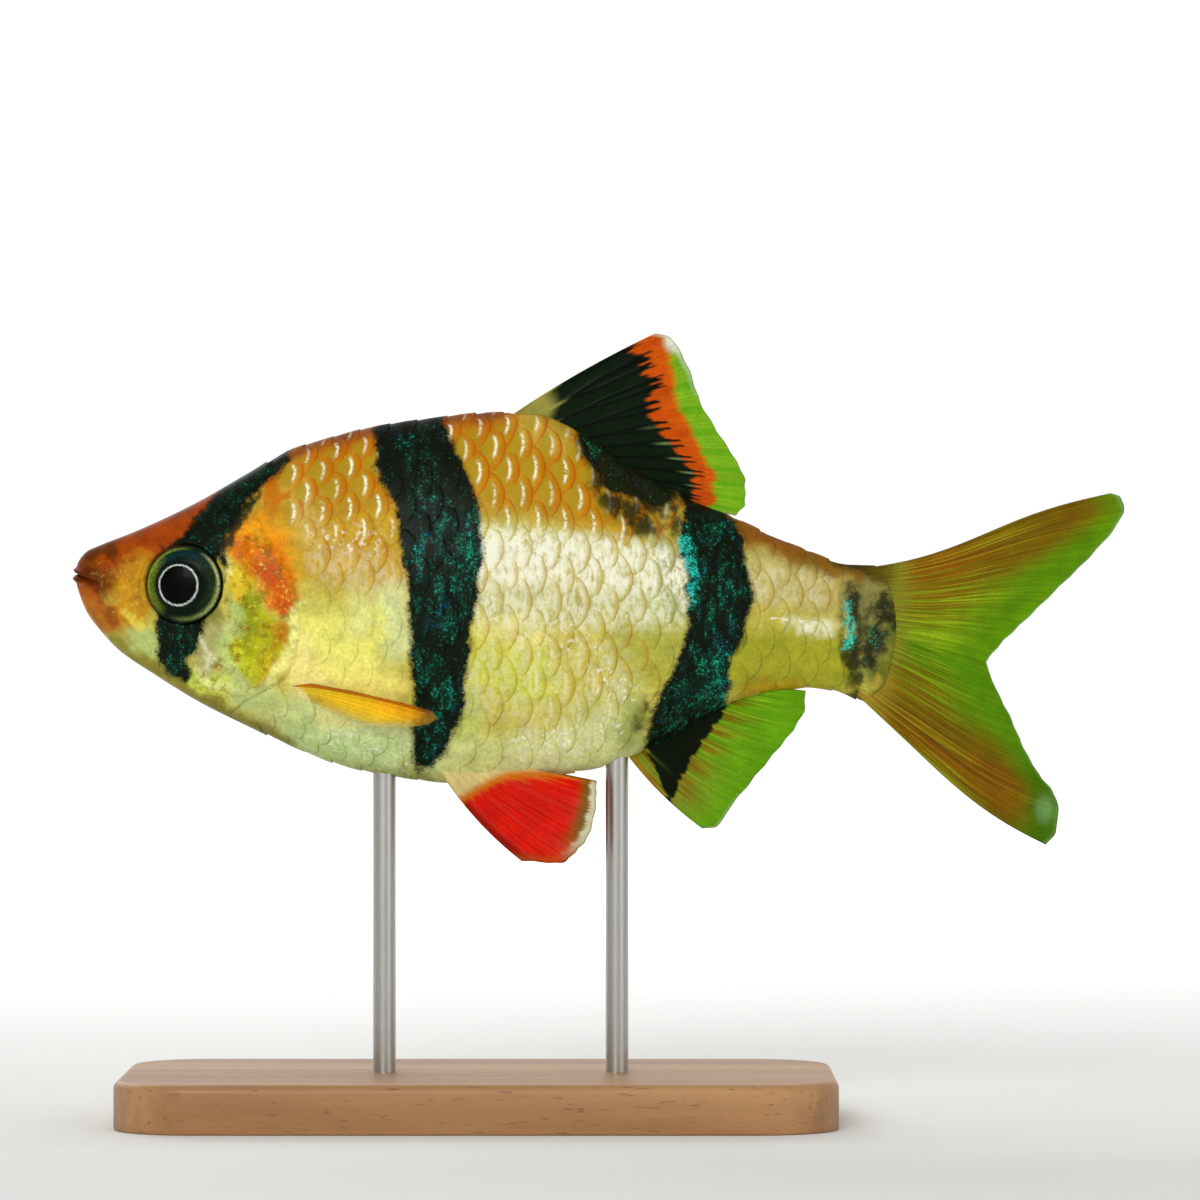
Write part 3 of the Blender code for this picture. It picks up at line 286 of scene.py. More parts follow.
# Dark bands with crisp, grainy edges, as (x, z, half width)
BANDS = [
    [(12.8, 9.1, 0.75), (10.9, 7.35, 0.95), (9.7, 6.15, 1.0), (8.75, 4.6, 1.1), (7.9, 3.2, 1.3)],
    [(5.5, 3.2, 0.1), (6.6, 3.6, 0.3), (8.9, 3.3, 0.4), (9.45, 2.2, 0.14), (9.55, 1.0, 0.06)],
    [(6.75, -1.7, 1.5), (6.6, -2.5, 1.25), (6.2, -3.3, 0.95), (6.45, -4.1, 0.66), (7.0, -4.75, 0.32)],
    [(20.4, 12.0, 2.1), (20.75, 10.4, 2.2), (21.2, 8.6, 2.5), (22.15, 6.9, 2.4), (22.6, 5.2, 2.5),
     (22.9, 2.8, 2.45), (22.9, 1.0, 2.2), (22.8, -1.1, 1.97), (22.6, -6.6, 1.5), (22.1, -8.6, 1.15),
     (21.75, -9.7, 0.65), (21.4, -10.3, 0.3)],
    [(38.4, 6.5, 1.0), (38.9, 5.4, 1.3), (39.3, 3.4, 1.95), (39.65, 1.9, 1.95), (39.9, 0.1, 1.97),
     (39.6, -1.85, 1.76), (39.1, -3.2, 1.5), (38.75, -4.75, 1.8), (38.3, -6.1, 2.05), (37.5, -7.5, 1.85),
     (36.9, -8.9, 1.6), (36.9, -10.2, 1.0), (36.8, -12.3, 0.2)],
]
# Soft dark smudges and the places where the bands glitter
SMUDGES = [
    (1.3, 1.1, [(31.7, 10.2, 0.2), (32.6, 9.4, 0.8), (34.2, 8.2, 1.4), (36.0, 6.9, 0.7)]),
    (0.85, 1.3, [(33.7, 7.6, 1.4), (34.6, 6.1, 1.3), (35.1, 4.9, 0.6)]),
    (0.6, 0.6, [(35.6, -6.2, 0.3), (35.2, -7.6, 0.5)]),
    (0.75, 0.8, [(37.0, 6.6, 0.4), (36.8, 4.6, 0.4)]),
    (0.9, 0.6, [(11.4, 6.6, 0.2), (10.3, 5.2, 0.3), (9.7, 4.2, 0.3), (9.6, 3.2, 0.2)]),
    (0.8, 0.5, [(48.2, -5.0, 0.2), (48.2, -6.0, 0.3)]),
    (0.85, 0.9, [(48.0, 0.8, 0.15), (47.9, -1.2, 0.4), (47.9, -3.1, 0.35), (48.2, -5.2, 0.25)]),
    (0.9, 1.0, [(50.1, 0.1, 0.1), (50.0, -1.5, 0.45), (49.4, -2.8, 0.4), (49.0, -3.8, 0.2)]),
    (0.8, 0.7, [(47.2, 2.5, 0.2), (49.0, 2.3, 0.2)]),
    (0.55, 0.9, [(49.0, -0.4, 0.7), (48.9, -4.0, 0.6)]),
]
GLITTER = [
    (0.35, 0.6, [(22.8, 3.0, 1.6), (22.8, -1.0, 1.3), (22.4, -7.0, 1.0), (21.9, -9.4, 0.5)]),
    (0.35, 0.6, [(39.4, 4.0, 1.0), (39.8, 0.0, 1.4), (38.6, -5.0, 1.3), (37.2, -8.4, 1.0)]),
    (0.1, 0.5, [(8.4, 4.2, 0.8), (11.0, 7.4, 0.6), (12.4, 8.8, 0.4)]),
    (0.25, 0.5, [(6.7, -2.2, 1.0), (6.4, -3.8, 0.5)]),
    (1.0, 0.3, [(37.3, 3.8, 0.2), (37.6, 2.2, 0.25)]),
    (0.95, 0.4, [(37.9, 3.6, 0.3), (38.1, 2.0, 0.3), (38.3, -0.4, 0.2)]),
    (1.0, 0.4, [(47.9, -0.2, 0.2), (47.7, -1.4, 0.35), (47.8, -2.6, 0.3)]),
    (0.6, 0.6, [(49.7, -1.6, 0.35), (49.3, -2.4, 0.3)]),
    (0.65, 0.6, [(24.6, 5.2, 0.3), (24.4, 3.6, 0.5), (24.4, 1.2, 0.3)]),
    (0.8, 0.3, [(21.2, 2.9, 0.25), (21.3, 2.0, 0.2)]),
    (0.65, 0.8, [(39.8, -3.0, 0.6), (39.6, -6.0, 0.7)]),
    (0.4, 0.7, [(31.2, 10.4, 0.5), (32.4, 9.4, 0.4)]),
    (0.6, 0.5, [(23.0, -5.2, 0.4), (22.4, -8.4, 0.5)]),
    (0.5, 0.8, [(22.2, 5.4, 0.7), (22.8, 2.0, 1.1)]),
    (0.2, 0.8, [(21.2, 9.6, 0.8), (21.6, 7.6, 0.8)]),
]
# Where the scales carry a painted pearly highlight, are silvered all over, have orange between them or carry
# painted white spark highlights
SCALE_MARKS = {
    # Painted highlight: a pearly arc near the rear edge of each plate, strongest on the upper flank
    "pearl_highlight": [
        (1.0, 1.3, [
            (13.5, 6.8, 1.4), (17.5, 6.5, 3.0), (22, 8.0, 2.8), (28, 7.9, 2.9), (33, 6.2, 1.8),
            (37, 4.2, 0.9),
        ]),
        (0.3, 1.2, [(25.5, -1.0, 1.0), (32, -6.5, 1.5), (30, -9.0, 1.0)]),
        (0.3, 1.5, [(16, -8.5, 1.0), (20, -9.5, 1.0)]),
    ],
    "silvered": [
        (1.0, 0.9, [(25.6, 2.9, 1.2), (30, 2.5, 1.25), (34, 2.1, 1.2), (37.4, 1.4, 1.0)]),
        (0.6, 1.2, [(26, 0.0, 0.9), (31, -0.4, 0.9), (37, -0.2, 0.9)]),
        (0.28, 1.5, [(26, -5.0, 1.5), (32, -5.0, 2.0), (29, -9.0, 1.2)]),
        (0.3, 1.0, [(42.5, 1.2, 0.8), (46.0, 0.6, 0.5)]),
        (0.3, 1.2, [(15.6, 2.2, 0.5), (19.2, 1.4, 0.6)]),
        (0.8, 0.35, [(44.0, -1.35, 0.0), (46.4, -1.8, 0.25)]),
    ],
    "netted": [
        (1.0, 1.7, [
            (13, 7.0, 1.0), (18, 7.8, 1.5), (24, 8.4, 1.6), (29, 8.3, 2.2), (34, 6.6, 1.6), (38, 4.6, 0.8),
        ]),
        (0.75, 1.6, [(26, 2.0, 1.0), (34, 0.6, 1.5)]),
        (0.35, 2.0, [(27, -2.0, 1.5), (33, -4.0, 2.0)]),
        (0.25, 1.0, [(42, 0.8, 1.0), (46.5, 0.4, 0.8)]),
        (0.5, 1.2, [(15.4, 3.6, 0.8), (19.4, 2.6, 0.8)]),
    ],
    # Painted highlights: small white sparks on the flanks and breast
    "sparkle_highlight": [
        (1.0, 0.7, [(32.3, -3.4, 0.3), (32.8, -5.0, 0.5), (34.4, -5.8, 0.3)]),
        (1.0, 0.8, [(27.8, -8.8, 0.4), (31.0, -8.6, 0.5), (33.2, -7.9, 0.4)]),
        (0.8, 0.8, [(25.6, 3.6, 0.6), (29.0, 3.2, 0.8)]),
        (0.7, 0.8, [(15.5, 4.0, 0.4), (18.5, 3.4, 0.6)]),
        (0.6, 1.0, [(28.0, -2.6, 0.5), (31.0, -2.4, 0.5)]),
        (0.7, 0.8, [(16.0, -8.4, 0.3), (20.2, -9.6, 0.5)]),
    ],
}
# The thin bright line along the flank, in three pieces
LATERAL_LINE = [
    [(25.1, -1.17, 0), (30.8, -1.48, 0)],
    [(33.0, -0.98, 0), (37.9, -0.94, 0)],
    [(42.5, -1.05, 0), (47.2, -1.56, 0)],
]
# The edges of the dorsal fin's black, red and pale fields, as (share across the fin, share along it)
DORSAL_EDGES = {
    "black": [(0, 0.89), (0.1, 0.83), (0.2, 0.79), (0.45, 0.68), (0.72, 0.65), (0.9, 0.6), (1, 0.54)],
    "red": [(0, 1.05), (0.1, 0.96), (0.2, 0.91), (0.45, 0.84), (0.72, 0.78), (0.9, 0.74), (1, 0.68)],
    "pale": [(0, 0.4), (0.08, 0.34), (0.16, 0.24), (0.3, 0.08), (0.45, -0.1)],
}
# Where the pelvic fins' pale base ends, as (x, z)
PELVIC_BASE = [(22.0, -13.4), (24.5, -12.1), (25.5, -11.5), (27.0, -10.95), (30.0, -10.8)]
# Where the bare skin of the gill cover and cheek carries brown patches and pale flecks painted as glints
GLINTS = [
    (1.0, 1.2, [(10.4, 1.4, 0.8), (11.2, -0.8, 1.2), (11.0, -3.6, 1.2), (9.0, -4.8, 0.9)]),
    (0.9, 1.2, [(11.4, 4.0, 0.6), (12.4, 1.6, 0.9), (13.0, -1.6, 0.6)]),
    (0.5, 0.8, [(3.2, -0.6, 0.4), (4.6, 0.6, 0.5), (2.0, 1.6, 0.4)]),
    (0.6, 1.5, [(13.5, -7.4, 0.8), (19.0, -9.6, 0.8)]),
]

# Settings that the finishes' nodes share, and the lacquer over skin and scales
TIMES, TIMES_PLUS, LESS, SCALED = (
    {"operation": word} for word in ("MULTIPLY", "MULTIPLY_ADD", "SUBTRACT", "SCALE")
)
SOFT, OVER = {"interpolation_type": "SMOOTHSTEP"}, {"out": 2, "data_type": "RGBA"}
WET_LACQUER = dict(Roughness=0.42, Specular_IOR_Level=0.06, Coat_Weight=0.03, Coat_Roughness=0.25)


def linear(code, alpha=1.0):
    """A paint name or sRGB hex value as a linear colour."""
    code = PAINTS.get(code, code).lstrip("#")
    parts = [int(code[i:i + 2], 16) / 255 for i in (0, 2, 4)]
    return (*[p / 12.92 if p <= 0.04045 else ((p + 0.055) / 1.055) ** 2.4 for p in parts], alpha)


def smooth(points, at):
    """Values on the smooth curve through (place, value) points, which never overshoots them."""
    xs, ys = np.array(points, float).T
    steps = np.diff(xs)
    slopes = np.diff(ys) / steps
    tangents = np.zeros(len(xs))
    for i in range(1, len(xs) - 1):
        if slopes[i - 1] * slopes[i] > 0:
            before, after = 2 * steps[i] + steps[i - 1], steps[i] + 2 * steps[i - 1]
            tangents[i] = (before + after) / (before / slopes[i - 1] + after / slopes[i])
    tangents[0], tangents[-1] = slopes[0], slopes[-1]
    at = np.clip(at, xs[0], xs[-1])
    i = np.clip(np.searchsorted(xs, at, side="right") - 1, 0, len(xs) - 2)
    t = (at - xs[i]) / steps[i]
    return (
        (2 * t**3 - 3 * t**2 + 1) * ys[i] + (t**3 - 2 * t**2 + t) * steps[i] * tangents[i]
        + (3 * t**2 - 2 * t**3) * ys[i + 1] + (t**3 - t**2) * steps[i] * tangents[i + 1]
    )


def ease(low, high, values):
    """0 below low, 1 above high and a smooth step between, or the other way round."""
    t = np.clip((values - low) / (high - low), 0, 1)
    return t * t * (3 - 2 * t)


def bump(values, width):
    """1 at zero, falling off smoothly to both sides over a width."""
    return np.exp(-((values / width) ** 2))


def jitter(numbers, seed):
    """A fixed scatter between -1 and 1 for whole numbers."""
    return np.sin((np.asarray(numbers, float) + seed) * 12.9898) * 43758.5453 % 1.0 * 2 - 1


def stroke_gap(x, z, path):
    """The distance from places on the side to the edge of a stroke, negative inside it."""
    nearest = np.full(np.shape(x), FAR_OFF)
    for (ax, az, aw), (bx, bz, bw) in zip(path, path[1:]):
        dx, dz = bx - ax, bz - az
        t = np.clip(((x - ax) * dx + (z - az) * dz) / (dx * dx + dz * dz), 0, 1)
        gap = np.hypot(x - ax - t * dx, z - az - t * dz) - (aw + t * (bw - aw))
        nearest = np.minimum(nearest, gap)
    return nearest


def wander(x, z, reach):
    """Places shifted a little this way and that, so that painted edges don't run too straight."""
    return [
        start + reach * sum(size * np.sin(a * x + b * z + phase) for size, a, b, phase in waves)
        for start, waves in zip((x, z), WANDERING)
    ]


def strokes_at(x, z, strokes):
    """The strongest of several soft strokes, 0 to 1."""
    found = np.zeros(np.shape(x))
    for strength, softness, path in strokes:
        found = np.maximum(found, strength * ease(softness, 0, stroke_gap(x, z, path)))
    return found


def layered(count, ground, *layers):
    """Paint over a ground for a number of points, in layers of (paint, share at each point)."""
    colour = np.tile(linear(ground), (count, 1))
    for paint, share in layers:
        share = np.clip(share, 0, 1)[:, None]
        colour = colour * (1 - share) + np.array(linear(paint)) * share
    return colour


def body(x, angle):
    """Points of the body at x and at an angle round it."""
    middle = smooth(WIDEST, x)
    rise, reach = np.sin(angle), np.cos(angle)
    height = np.where(rise > 0, smooth(BACK, x) - middle, middle - smooth(BELLY, x))
    width = smooth(HALF_WIDTH, x) * (1 - BACK_TAPER * np.maximum(rise, 0) ** 2)
    return np.stack(np.broadcast_arrays(x, width * reach, middle + height * rise), -1)


def outward(x, angle):
    """The body's outward direction at x and at an angle round it."""
    along = body(x + SMALL_STEP, angle) - body(x - SMALL_STEP, angle)
    around = body(x, angle + SMALL_STEP) - body(x, angle - SMALL_STEP)
    normal = np.cross(around, along)
    return normal / np.maximum(np.linalg.norm(normal, axis=-1, keepdims=True), TINY)


def in_frame(points):
    """Fish points in millimetres as metres in the shared frame."""
    return (np.asarray(points) + (-TOTAL_LENGTH / 2, 0, AXIS_HEIGHT)) * MM


def in_fish(mesh):
    """A mesh's points back in fish coordinates."""
    flat = np.empty(len(mesh.vertices) * 3, np.float32)
    mesh.vertices.foreach_get("co", flat)
    return flat.reshape(-1, 3).astype(float) / MM - (-TOTAL_LENGTH / 2, 0, AXIS_HEIGHT)


def placed(name, mesh):
    """A mesh, lamp or camera as an object of the scene."""
    made = bpy.data.objects.new(name, mesh)
    bpy.context.scene.collection.objects.link(made)
    return made


def finished(bm, name, weld=1e-7, sharp=None):
    """Ends a bmesh as a smooth, closed object, with sharp edges above an angle in degrees."""
    bmesh.ops.remove_doubles(bm, verts=bm.verts, dist=weld)
    bmesh.ops.recalc_face_normals(bm, faces=bm.faces)
    mesh = bpy.data.meshes.new(name)
    bm.to_mesh(mesh)
    bm.free()
    mesh.shade_smooth()
    if sharp:
        mesh.set_sharp_from_angle(angle=math.radians(sharp))
    return placed(name, mesh)


def laid_grid(across, along, lay):
    """A grid whose points are laid by a function of two shares."""
    bm = bmesh.new()
    bmesh.ops.create_grid(bm, x_segments=across, y_segments=along, size=0.5)
    flat = np.array([v.co[:2] for v in bm.verts]) + 0.5
    for v, point in zip(bm.verts, in_frame(lay(flat[:, 0], flat[:, 1]))):
        v.co = point
    return bm


def spun(profile):
    """A profile of (out, up) points turned about the upright axis."""
    bm = bmesh.new()
    chain = [bm.verts.new((out, 0, up)) for out, up in profile]
    edges = [bm.edges.new(pair) for pair in zip(chain, chain[1:])]
    bmesh.ops.spin(
        bm, geom=chain + edges, cent=(0, 0, 0), axis=(0, 0, 1), dvec=(0, 0, 0), angle=2 * math.pi,
        steps=SPIN_STEPS, use_merge=True, use_duplicate=False,
    )
    return bm


def note(mesh, name, values):
    """Stores a number, or a colour, for each point of a mesh."""
    values = np.asarray(values, np.float32)
    kind, key = ("FLOAT", "value") if values.ndim == 1 else ("FLOAT_COLOR", "color")
    mesh.attributes.new(name, kind, "POINT").data.foreach_set(key, values.ravel())


def dress(made, finish, slot, *nodes):
    """Gives a piece its material and its place in the frame, and hides the nodes it stands for. The slot is
    not used.
    """
    made.data.materials.append(finish)
    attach(made, "root")
    if nodes:
        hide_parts(*nodes)


def add_node(tree, kind, inputs=(), out=0, **settings):
    """Adds a node with its settings, sets or links its inputs, by order or by key, and gives an output."""
    made = tree.nodes.new("ShaderNode" + kind)
    for name, value in settings.items():
        setattr(made, name, value)
    for key, value in inputs.items() if isinstance(inputs, dict) else enumerate(inputs):
        if isinstance(value, bpy.types.NodeSocket):
            tree.links.new(value, made.inputs[key])
        else:
            made.inputs[key].default_value = value
    return made.outputs[out]


def new_finish(name, **sockets):
    """A material, its Principled shader with plain values set, Object coordinates and its adder of nodes."""
    made = bpy.data.materials.new(name)
    made.use_nodes = True
    shader = made.node_tree.nodes["Principled BSDF"]
    for key, value in sockets.items():
        shader.inputs[key.replace("_", " ")].default_value = value
    add = functools.partial(add_node, made.node_tree)
    return made, shader, add("TexCoord", out="Object"), add


def wire(add, shader, height, strength, depth, **links):
    """Links a relief, its depth in millimetres, and other outputs to a shader."""
    links["Normal"] = add("Bump", {"Height": height, "Strength": strength, "Distance": depth * MM})
    for key, output in links.items():
        shader.id_data.links.new(output, shader.inputs[key.replace("_", " ")])


def per_size(*sizes):
    """Pattern scales along x, y and z for grains of these sizes in millimetres."""
    return [1 / (size * MM) for size in sizes]


# Materials


def mottled(add, colour, place, *grains):
    """A colour, or the stored paint, lightened and darkened by noise: (size in millimetres, least, most)."""
    colour = colour or add("Attribute", out="Color", attribute_name="paint")
    for size, least, most in grains:
        noise = add("TexNoise", {"Vector": place, "Scale": 1 / (size * MM), "Detail": 3.0})
        shade = add("MapRange", (noise, 0.3, 0.7, least, most))
        colour = add("VectorMath", {0: colour, "Scale": shade}, **SCALED)
    return colour


def banded(add, colour, place):
    """Lays the dark bands and smudges over a colour: soft grainy edges and clouds of glittering flecks."""
    band, smudged, glitter = (
        add("Attribute", out="Fac", attribute_name=name) for name in ("band", "smudge", "glitter")
    )
    grain = add("TexNoise", {"Vector": place, "Scale": 1 / (0.16 * MM), "Detail": 2.0})
    coarse = {"Vector": place, "Scale": 1 / (0.8 * MM), "Detail": 5.0, "Roughness": 0.6}
    coarse = add("TexNoise", coarse)
    band = add("Math", (grain, 0.5, band), **TIMES_PLUS)
    band = add("Math", (coarse, 0.8, band), **TIMES_PLUS)
    band = add("MapRange", (band, 0.4, 0.85), **SOFT)
    smudge = add("Math", (coarse, 2.4, smudged), **TIMES_PLUS)
    smudge = add("MapRange", (smudge, 1.4, 2.2), **SOFT)
    root = add("Math", (smudged, 0.5), operation="POWER")
    smudge = add("Math", (smudge, root), **TIMES)
    # Flecks lie in upright clouds, thickest where the glitter attribute is high
    upright = per_size(0.5, 0.5, 1.5)
    cloud = add("VectorMath", (place, upright), **TIMES)
    cloud = add("TexNoise", {"Vector": cloud, "Scale": 1.0, "Detail": 4.0, "Roughness": 0.6})
    cloud = add("MapRange", (cloud, 0.44, 0.66))
    bright = add("MapRange", (glitter, 0.55, 1.0))
    cloud = add("Math", (cloud, bright), operation="MAXIMUM")
    thick = add("MapRange", (cloud, 0, 1, 0.16, 0.95))
    share = add("Math", (glitter, 0.22))
    share = add("Math", (share, thick), **TIMES)
    limit = add("Math", (0.99, share), **LESS)
    cells = add("TexVoronoi", {"Vector": place, "Scale": 1 / (0.1 * MM)}, out="Color")
    flecks = add("Math", (add("SeparateColor", (cells,)), limit), **LESS)
    flecks = add("MapRange", (flecks, 0, 0.45))
    tint = add("TexNoise", {"Vector": place, "Scale": 1 / (2.2 * MM), "Detail": 2.0})
    tint = add("MapRange", (tint, 0.55, 0.68))
    fleck = add("Mix", {0: tint, 6: linear("jade"), 7: linear("sapphire")}, **OVER)
    fleck = add("Mix", {0: bright, 6: fleck, 7: linear("teal")}, **OVER)
    shine = add("MapRange", (add("SeparateColor", (cells,), out=1), 0, 1, 0.35, 1.8))
    fleck = add("VectorMath", {0: fleck, "Scale": shine}, **SCALED)
    glow = add("MapRange", (glitter, 0, 0.6))
    glow = add("Math", (cloud, glow), **TIMES)
    ink = add("Mix", {0: glow, 6: linear("ink"), 7: linear("deep_green")}, **OVER)
    for share, ground in ((smudge, linear("smoke")), (band, ink)):
        dark = add("Mix", {0: flecks, 6: ground, 7: fleck}, **OVER)
        colour = add("Mix", {0: share, 6: colour, 7: dark}, **OVER)
    return colour


def painted_skin():
    """Airbrushed resin skin under wet lacquer: soft colour, fine grain and scattered pearly glints."""
    made, shader, place, add = new_finish("airbrushed_wet_skin", **WET_LACQUER)
    glinting = add("Attribute", out="Fac", attribute_name="glint")
    colour = mottled(add, None, place, (1.1, 0.82, 1.14), (0.22, 0.86, 1.12))
    # Brown patches, then pale flecks that are painted glints: their size, noise, limits, strength and paint
    for size, detail, rough, low, high, most, paint in (
        (0.55, 4.0, 0.65, 0.5, 0.36, 0.7, "#8A5A08"),
        (0.28, 5.0, 0.7, 0.55, 0.7, 0.8, "#F0DE58"),
    ):
        speck = {"Vector": place, "Scale": 1 / (size * MM), "Detail": detail, "Roughness": rough}
        speck = add("MapRange", (add("TexNoise", speck), low, high, 0, most))
        speck = add("Math", (speck, glinting), **TIMES)
        colour = add("Mix", {0: speck, 6: colour, 7: linear(paint)}, **OVER)
    pores = add("TexNoise", {"Vector": place, "Scale": 1 / (0.18 * MM), "Detail": 4.0})
    wire(add, shader, pores, 0.45, 0.04, Base_Color=banded(add, colour, place))
    return made


def pearly_scales():
    """Airbrushed plates under wet lacquer, finely grooved, with painted highlights: a pearly arc near each
    rear edge and small white sparks.
    """
    made, shader, place, add = new_finish("pearly_scale_plates", **WET_LACQUER)
    along, across, draw, pearl_highlight, silvered, netted, sparkle_highlight, lateral = (
        add("Attribute", out="Fac", attribute_name=name)
        for name in ("along", "across", "draw", "pearl_highlight", "silvered", "netted", "sparkle_highlight", "lateral")
    )
    # An upright oval on each plate's open part: 0 in its middle, 1 on its rim
    ahead = add("MapRange", (along, 0.68, 0.83), clamp=False)
    behind = add("MapRange", (ahead, 0.3, 0.7))
    aside = add("Math", (across, 0.5), operation="DIVIDE")
    ahead, aside = (add("Math", (way, way), **TIMES) for way in (ahead, aside))
    oval = add("Math", (ahead, aside))
    core, wide, ring = (
        add("MapRange", (oval, low, high), **SOFT)
        for low, high in ((1.5, 0.7), (3.4, 1.2), (0.25, 0.75))
    )
    fine = {"Vector": place, "Scale": 1 / (0.2 * MM), "Detail": 4.0, "Roughness": 0.65}
    fine = add("TexNoise", fine)
    broken = add("MapRange", (fine, 0.38, 0.5))
    upright = add("MapRange", (aside, 1.0, 0.35))
    drawn = add("MapRange", (draw, 0, 1, 0.55, 1.3))
    # The ring is a painted highlight, a pearly arc near each plate's rear rim
    for factor in (core, behind, upright, broken, pearl_highlight, drawn):
        ring = add("Math", (ring, factor), use_clamp=True, **TIMES)
    net = add("Math", (1.0, wide), **LESS)
    for factor in (netted, 0.8):
        net = add("Math", (net, factor), **TIMES)
    strands = add("MapRange", (silvered, 0, 0.45))
    strands = add("Mix", {0: strands, 6: linear("#C86C04"), 7: linear("#C8A62A")}, **OVER)
    bronze = add("MapRange", (netted, 0.6, 1.0, 0, 0.7))
    bronze = add("Math", (core, bronze), **TIMES)
    # Silvered plates are streaked with foil, thinner towards their rims
    streak = add("CombineXYZ", (across, along, draw))
    streak = add("VectorMath", (streak, (1.8, 5.5, 40.0)), **TIMES)
    streak = add("TexNoise", {"Vector": streak, "Scale": 1.8, "Detail": 5.0, "Roughness": 0.65})
    strand = add("MapRange", (streak, 0.46, 0.32, 0, 0.45))
    foil = add("MapRange", (streak, 0.36, 0.56))
    strand, foil = (add("Math", (part, silvered), **TIMES) for part in (strand, foil))
    foil = add("Math", (foil, add("MapRange", (wide, 0, 1, 0.15, 1.0))), **TIMES)
    # Painted highlights: small white sparks where the mask is high
    spark = {"Vector": place, "Scale": 1 / (0.3 * MM), "Detail": 3.0, "Distortion": 0.5}
    spark = add("MapRange", (add("TexNoise", spark), 0.55, 0.7))
    spark = add("Math", (spark, sparkle_highlight), **TIMES)
    thread = add("MapRange", (lateral, 0.1, 0.03, 0, 0.85))
    colour = mottled(add, None, place, (0.9, 0.84, 1.12), (0.2, 0.86, 1.12))
    # Net, bronze, strands and foil are the plates' own colours; ring and spark are painted highlights
    for share, paint in (
        (net, strands), (bronze, linear("#AE921E")), (strand, linear("#C4A83A")), (foil, linear("#F7F5DC")),
        (ring, linear("#FDF8D4")), (spark, linear("#FCFBEC")), (thread, linear("#F6F5DA")),
    ):
        colour = add("Mix", {0: share, 6: colour, 7: paint}, **OVER)
    grooves = add("Math", (streak, 0.6, fine), **TIMES_PLUS)
    wire(add, shader, grooves, 0.4, 0.05, Base_Color=banded(add, colour, place))
    return made


def rayed_fin(name, rays, clear, light, dark):
    """Thin fin skin over bony rays, airbrushed and lacquered: fine lines along the rays, a satin sheen."""
    made, shader, place, add = new_finish(
        name, Roughness=0.5, Specular_IOR_Level=0.03, Coat_Weight=0.03, Coat_Roughness=0.2,
    )
    across, along, streaks = (
        add("Attribute", out="Fac", attribute_name=word) for word in ("across", "along", "streaks")
    )
    lines = add("CombineXYZ", (across, along))
    lines = add("VectorMath", (lines, (rays * 8.0, 1.4, 1.0)), **TIMES)
    lines = add("TexNoise", {"Vector": lines, "Scale": 1.0, "Detail": 3.0, "Roughness": 0.6})
    colour = mottled(add, None, place, (1.3, 0.86, 1.12))
    for low, high, most, paint in ((0.5, 0.66, 0.75, light), (0.48, 0.34, 0.8, dark)):
        share = add("MapRange", (lines, low, high, 0, most))
        share = add("Math", (share, streaks), **TIMES)
        colour = add("Mix", {0: share, 6: colour, 7: linear(paint)}, **OVER)
    colour = mottled(add, colour, place, (0.15, 0.9, 1.08))
    skin_grain = add("TexNoise", {"Vector": place, "Scale": 1 / (0.12 * MM), "Detail": 3.0})
    height = add("Math", (lines, 1.5, skin_grain), **TIMES_PLUS)
    thin = {"Alpha": add("Attribute", out="Fac", attribute_name="cover")} if clear else {}
    wire(add, shader, height, 0.35, 0.04, Base_Color=colour, **thin)
    return made


def lacquered_eye():
    """Painted eye under clear lacquer: black pupil, thin white ring, dark iris and a gold-green rim."""
    made, shader, place, add = new_finish(
        "lacquered_eye", Roughness=0.3, Specular_IOR_Level=0.04, Coat_Weight=0.08, Coat_IOR=1.3,
        Coat_Roughness=0.02,
    )
    grain = {"Vector": place, "Scale": 1 / (0.13 * MM), "Detail": 4.0, "Roughness": 0.7}
    grain = add("TexNoise", grain)
    shade = add("MapRange", (grain, 0.32, 0.68, 0.3, 1.4))
    colour = add("Attribute", out="Color", attribute_name="paint")
    colour = add("VectorMath", {0: colour, "Scale": shade}, **SCALED)
    wire(add, shader, grain, 0.2, 0.04, Base_Color=colour)
    return made


def oiled_beech():
    """Beech, planed, sanded and oiled: pale brown, straight fine grain with short dark flecks."""
    made, shader, place, add = new_finish(
        "oiled_beech", Roughness=0.48, Coat_Weight=0.08, Coat_Roughness=0.3,
    )
    rings = {"Vector": place, "Scale": per_size(71.43, 3.125, 6.25), "Rotation": (0.06, 0.0, 0.035)}
    rings = add("Mapping", rings)
    rings = add("TexNoise", {"Vector": rings, "Scale": 1.0, "Detail": 5.0, "Roughness": 0.6})
    grain = add("MapRange", (rings, 0.35, 0.65))
    colour = add("Mix", {0: grain, 6: linear("#8F6238"), 7: linear("#B98A58")}, **OVER)
    flecks = {"Vector": place, "Scale": per_size(1.111, 0.1923, 0.1923), "Rotation": (0.0, 0.0, 0.035)}
    flecks = add("Mapping", flecks)
    flecks = add("TexNoise", {"Vector": flecks, "Scale": 1.0, "Detail": 2.0})
    fleck = add("MapRange", (flecks, 0.62, 0.72, 0, 0.55))
    colour = add("Mix", {0: fleck, 6: colour, 7: linear("#5E3A1E")}, **OVER)
    height = add("Math", (fleck, -0.8, grain), **TIMES_PLUS)
    wire(add, shader, height, 0.35, 0.06, Base_Color=colour)
    return made


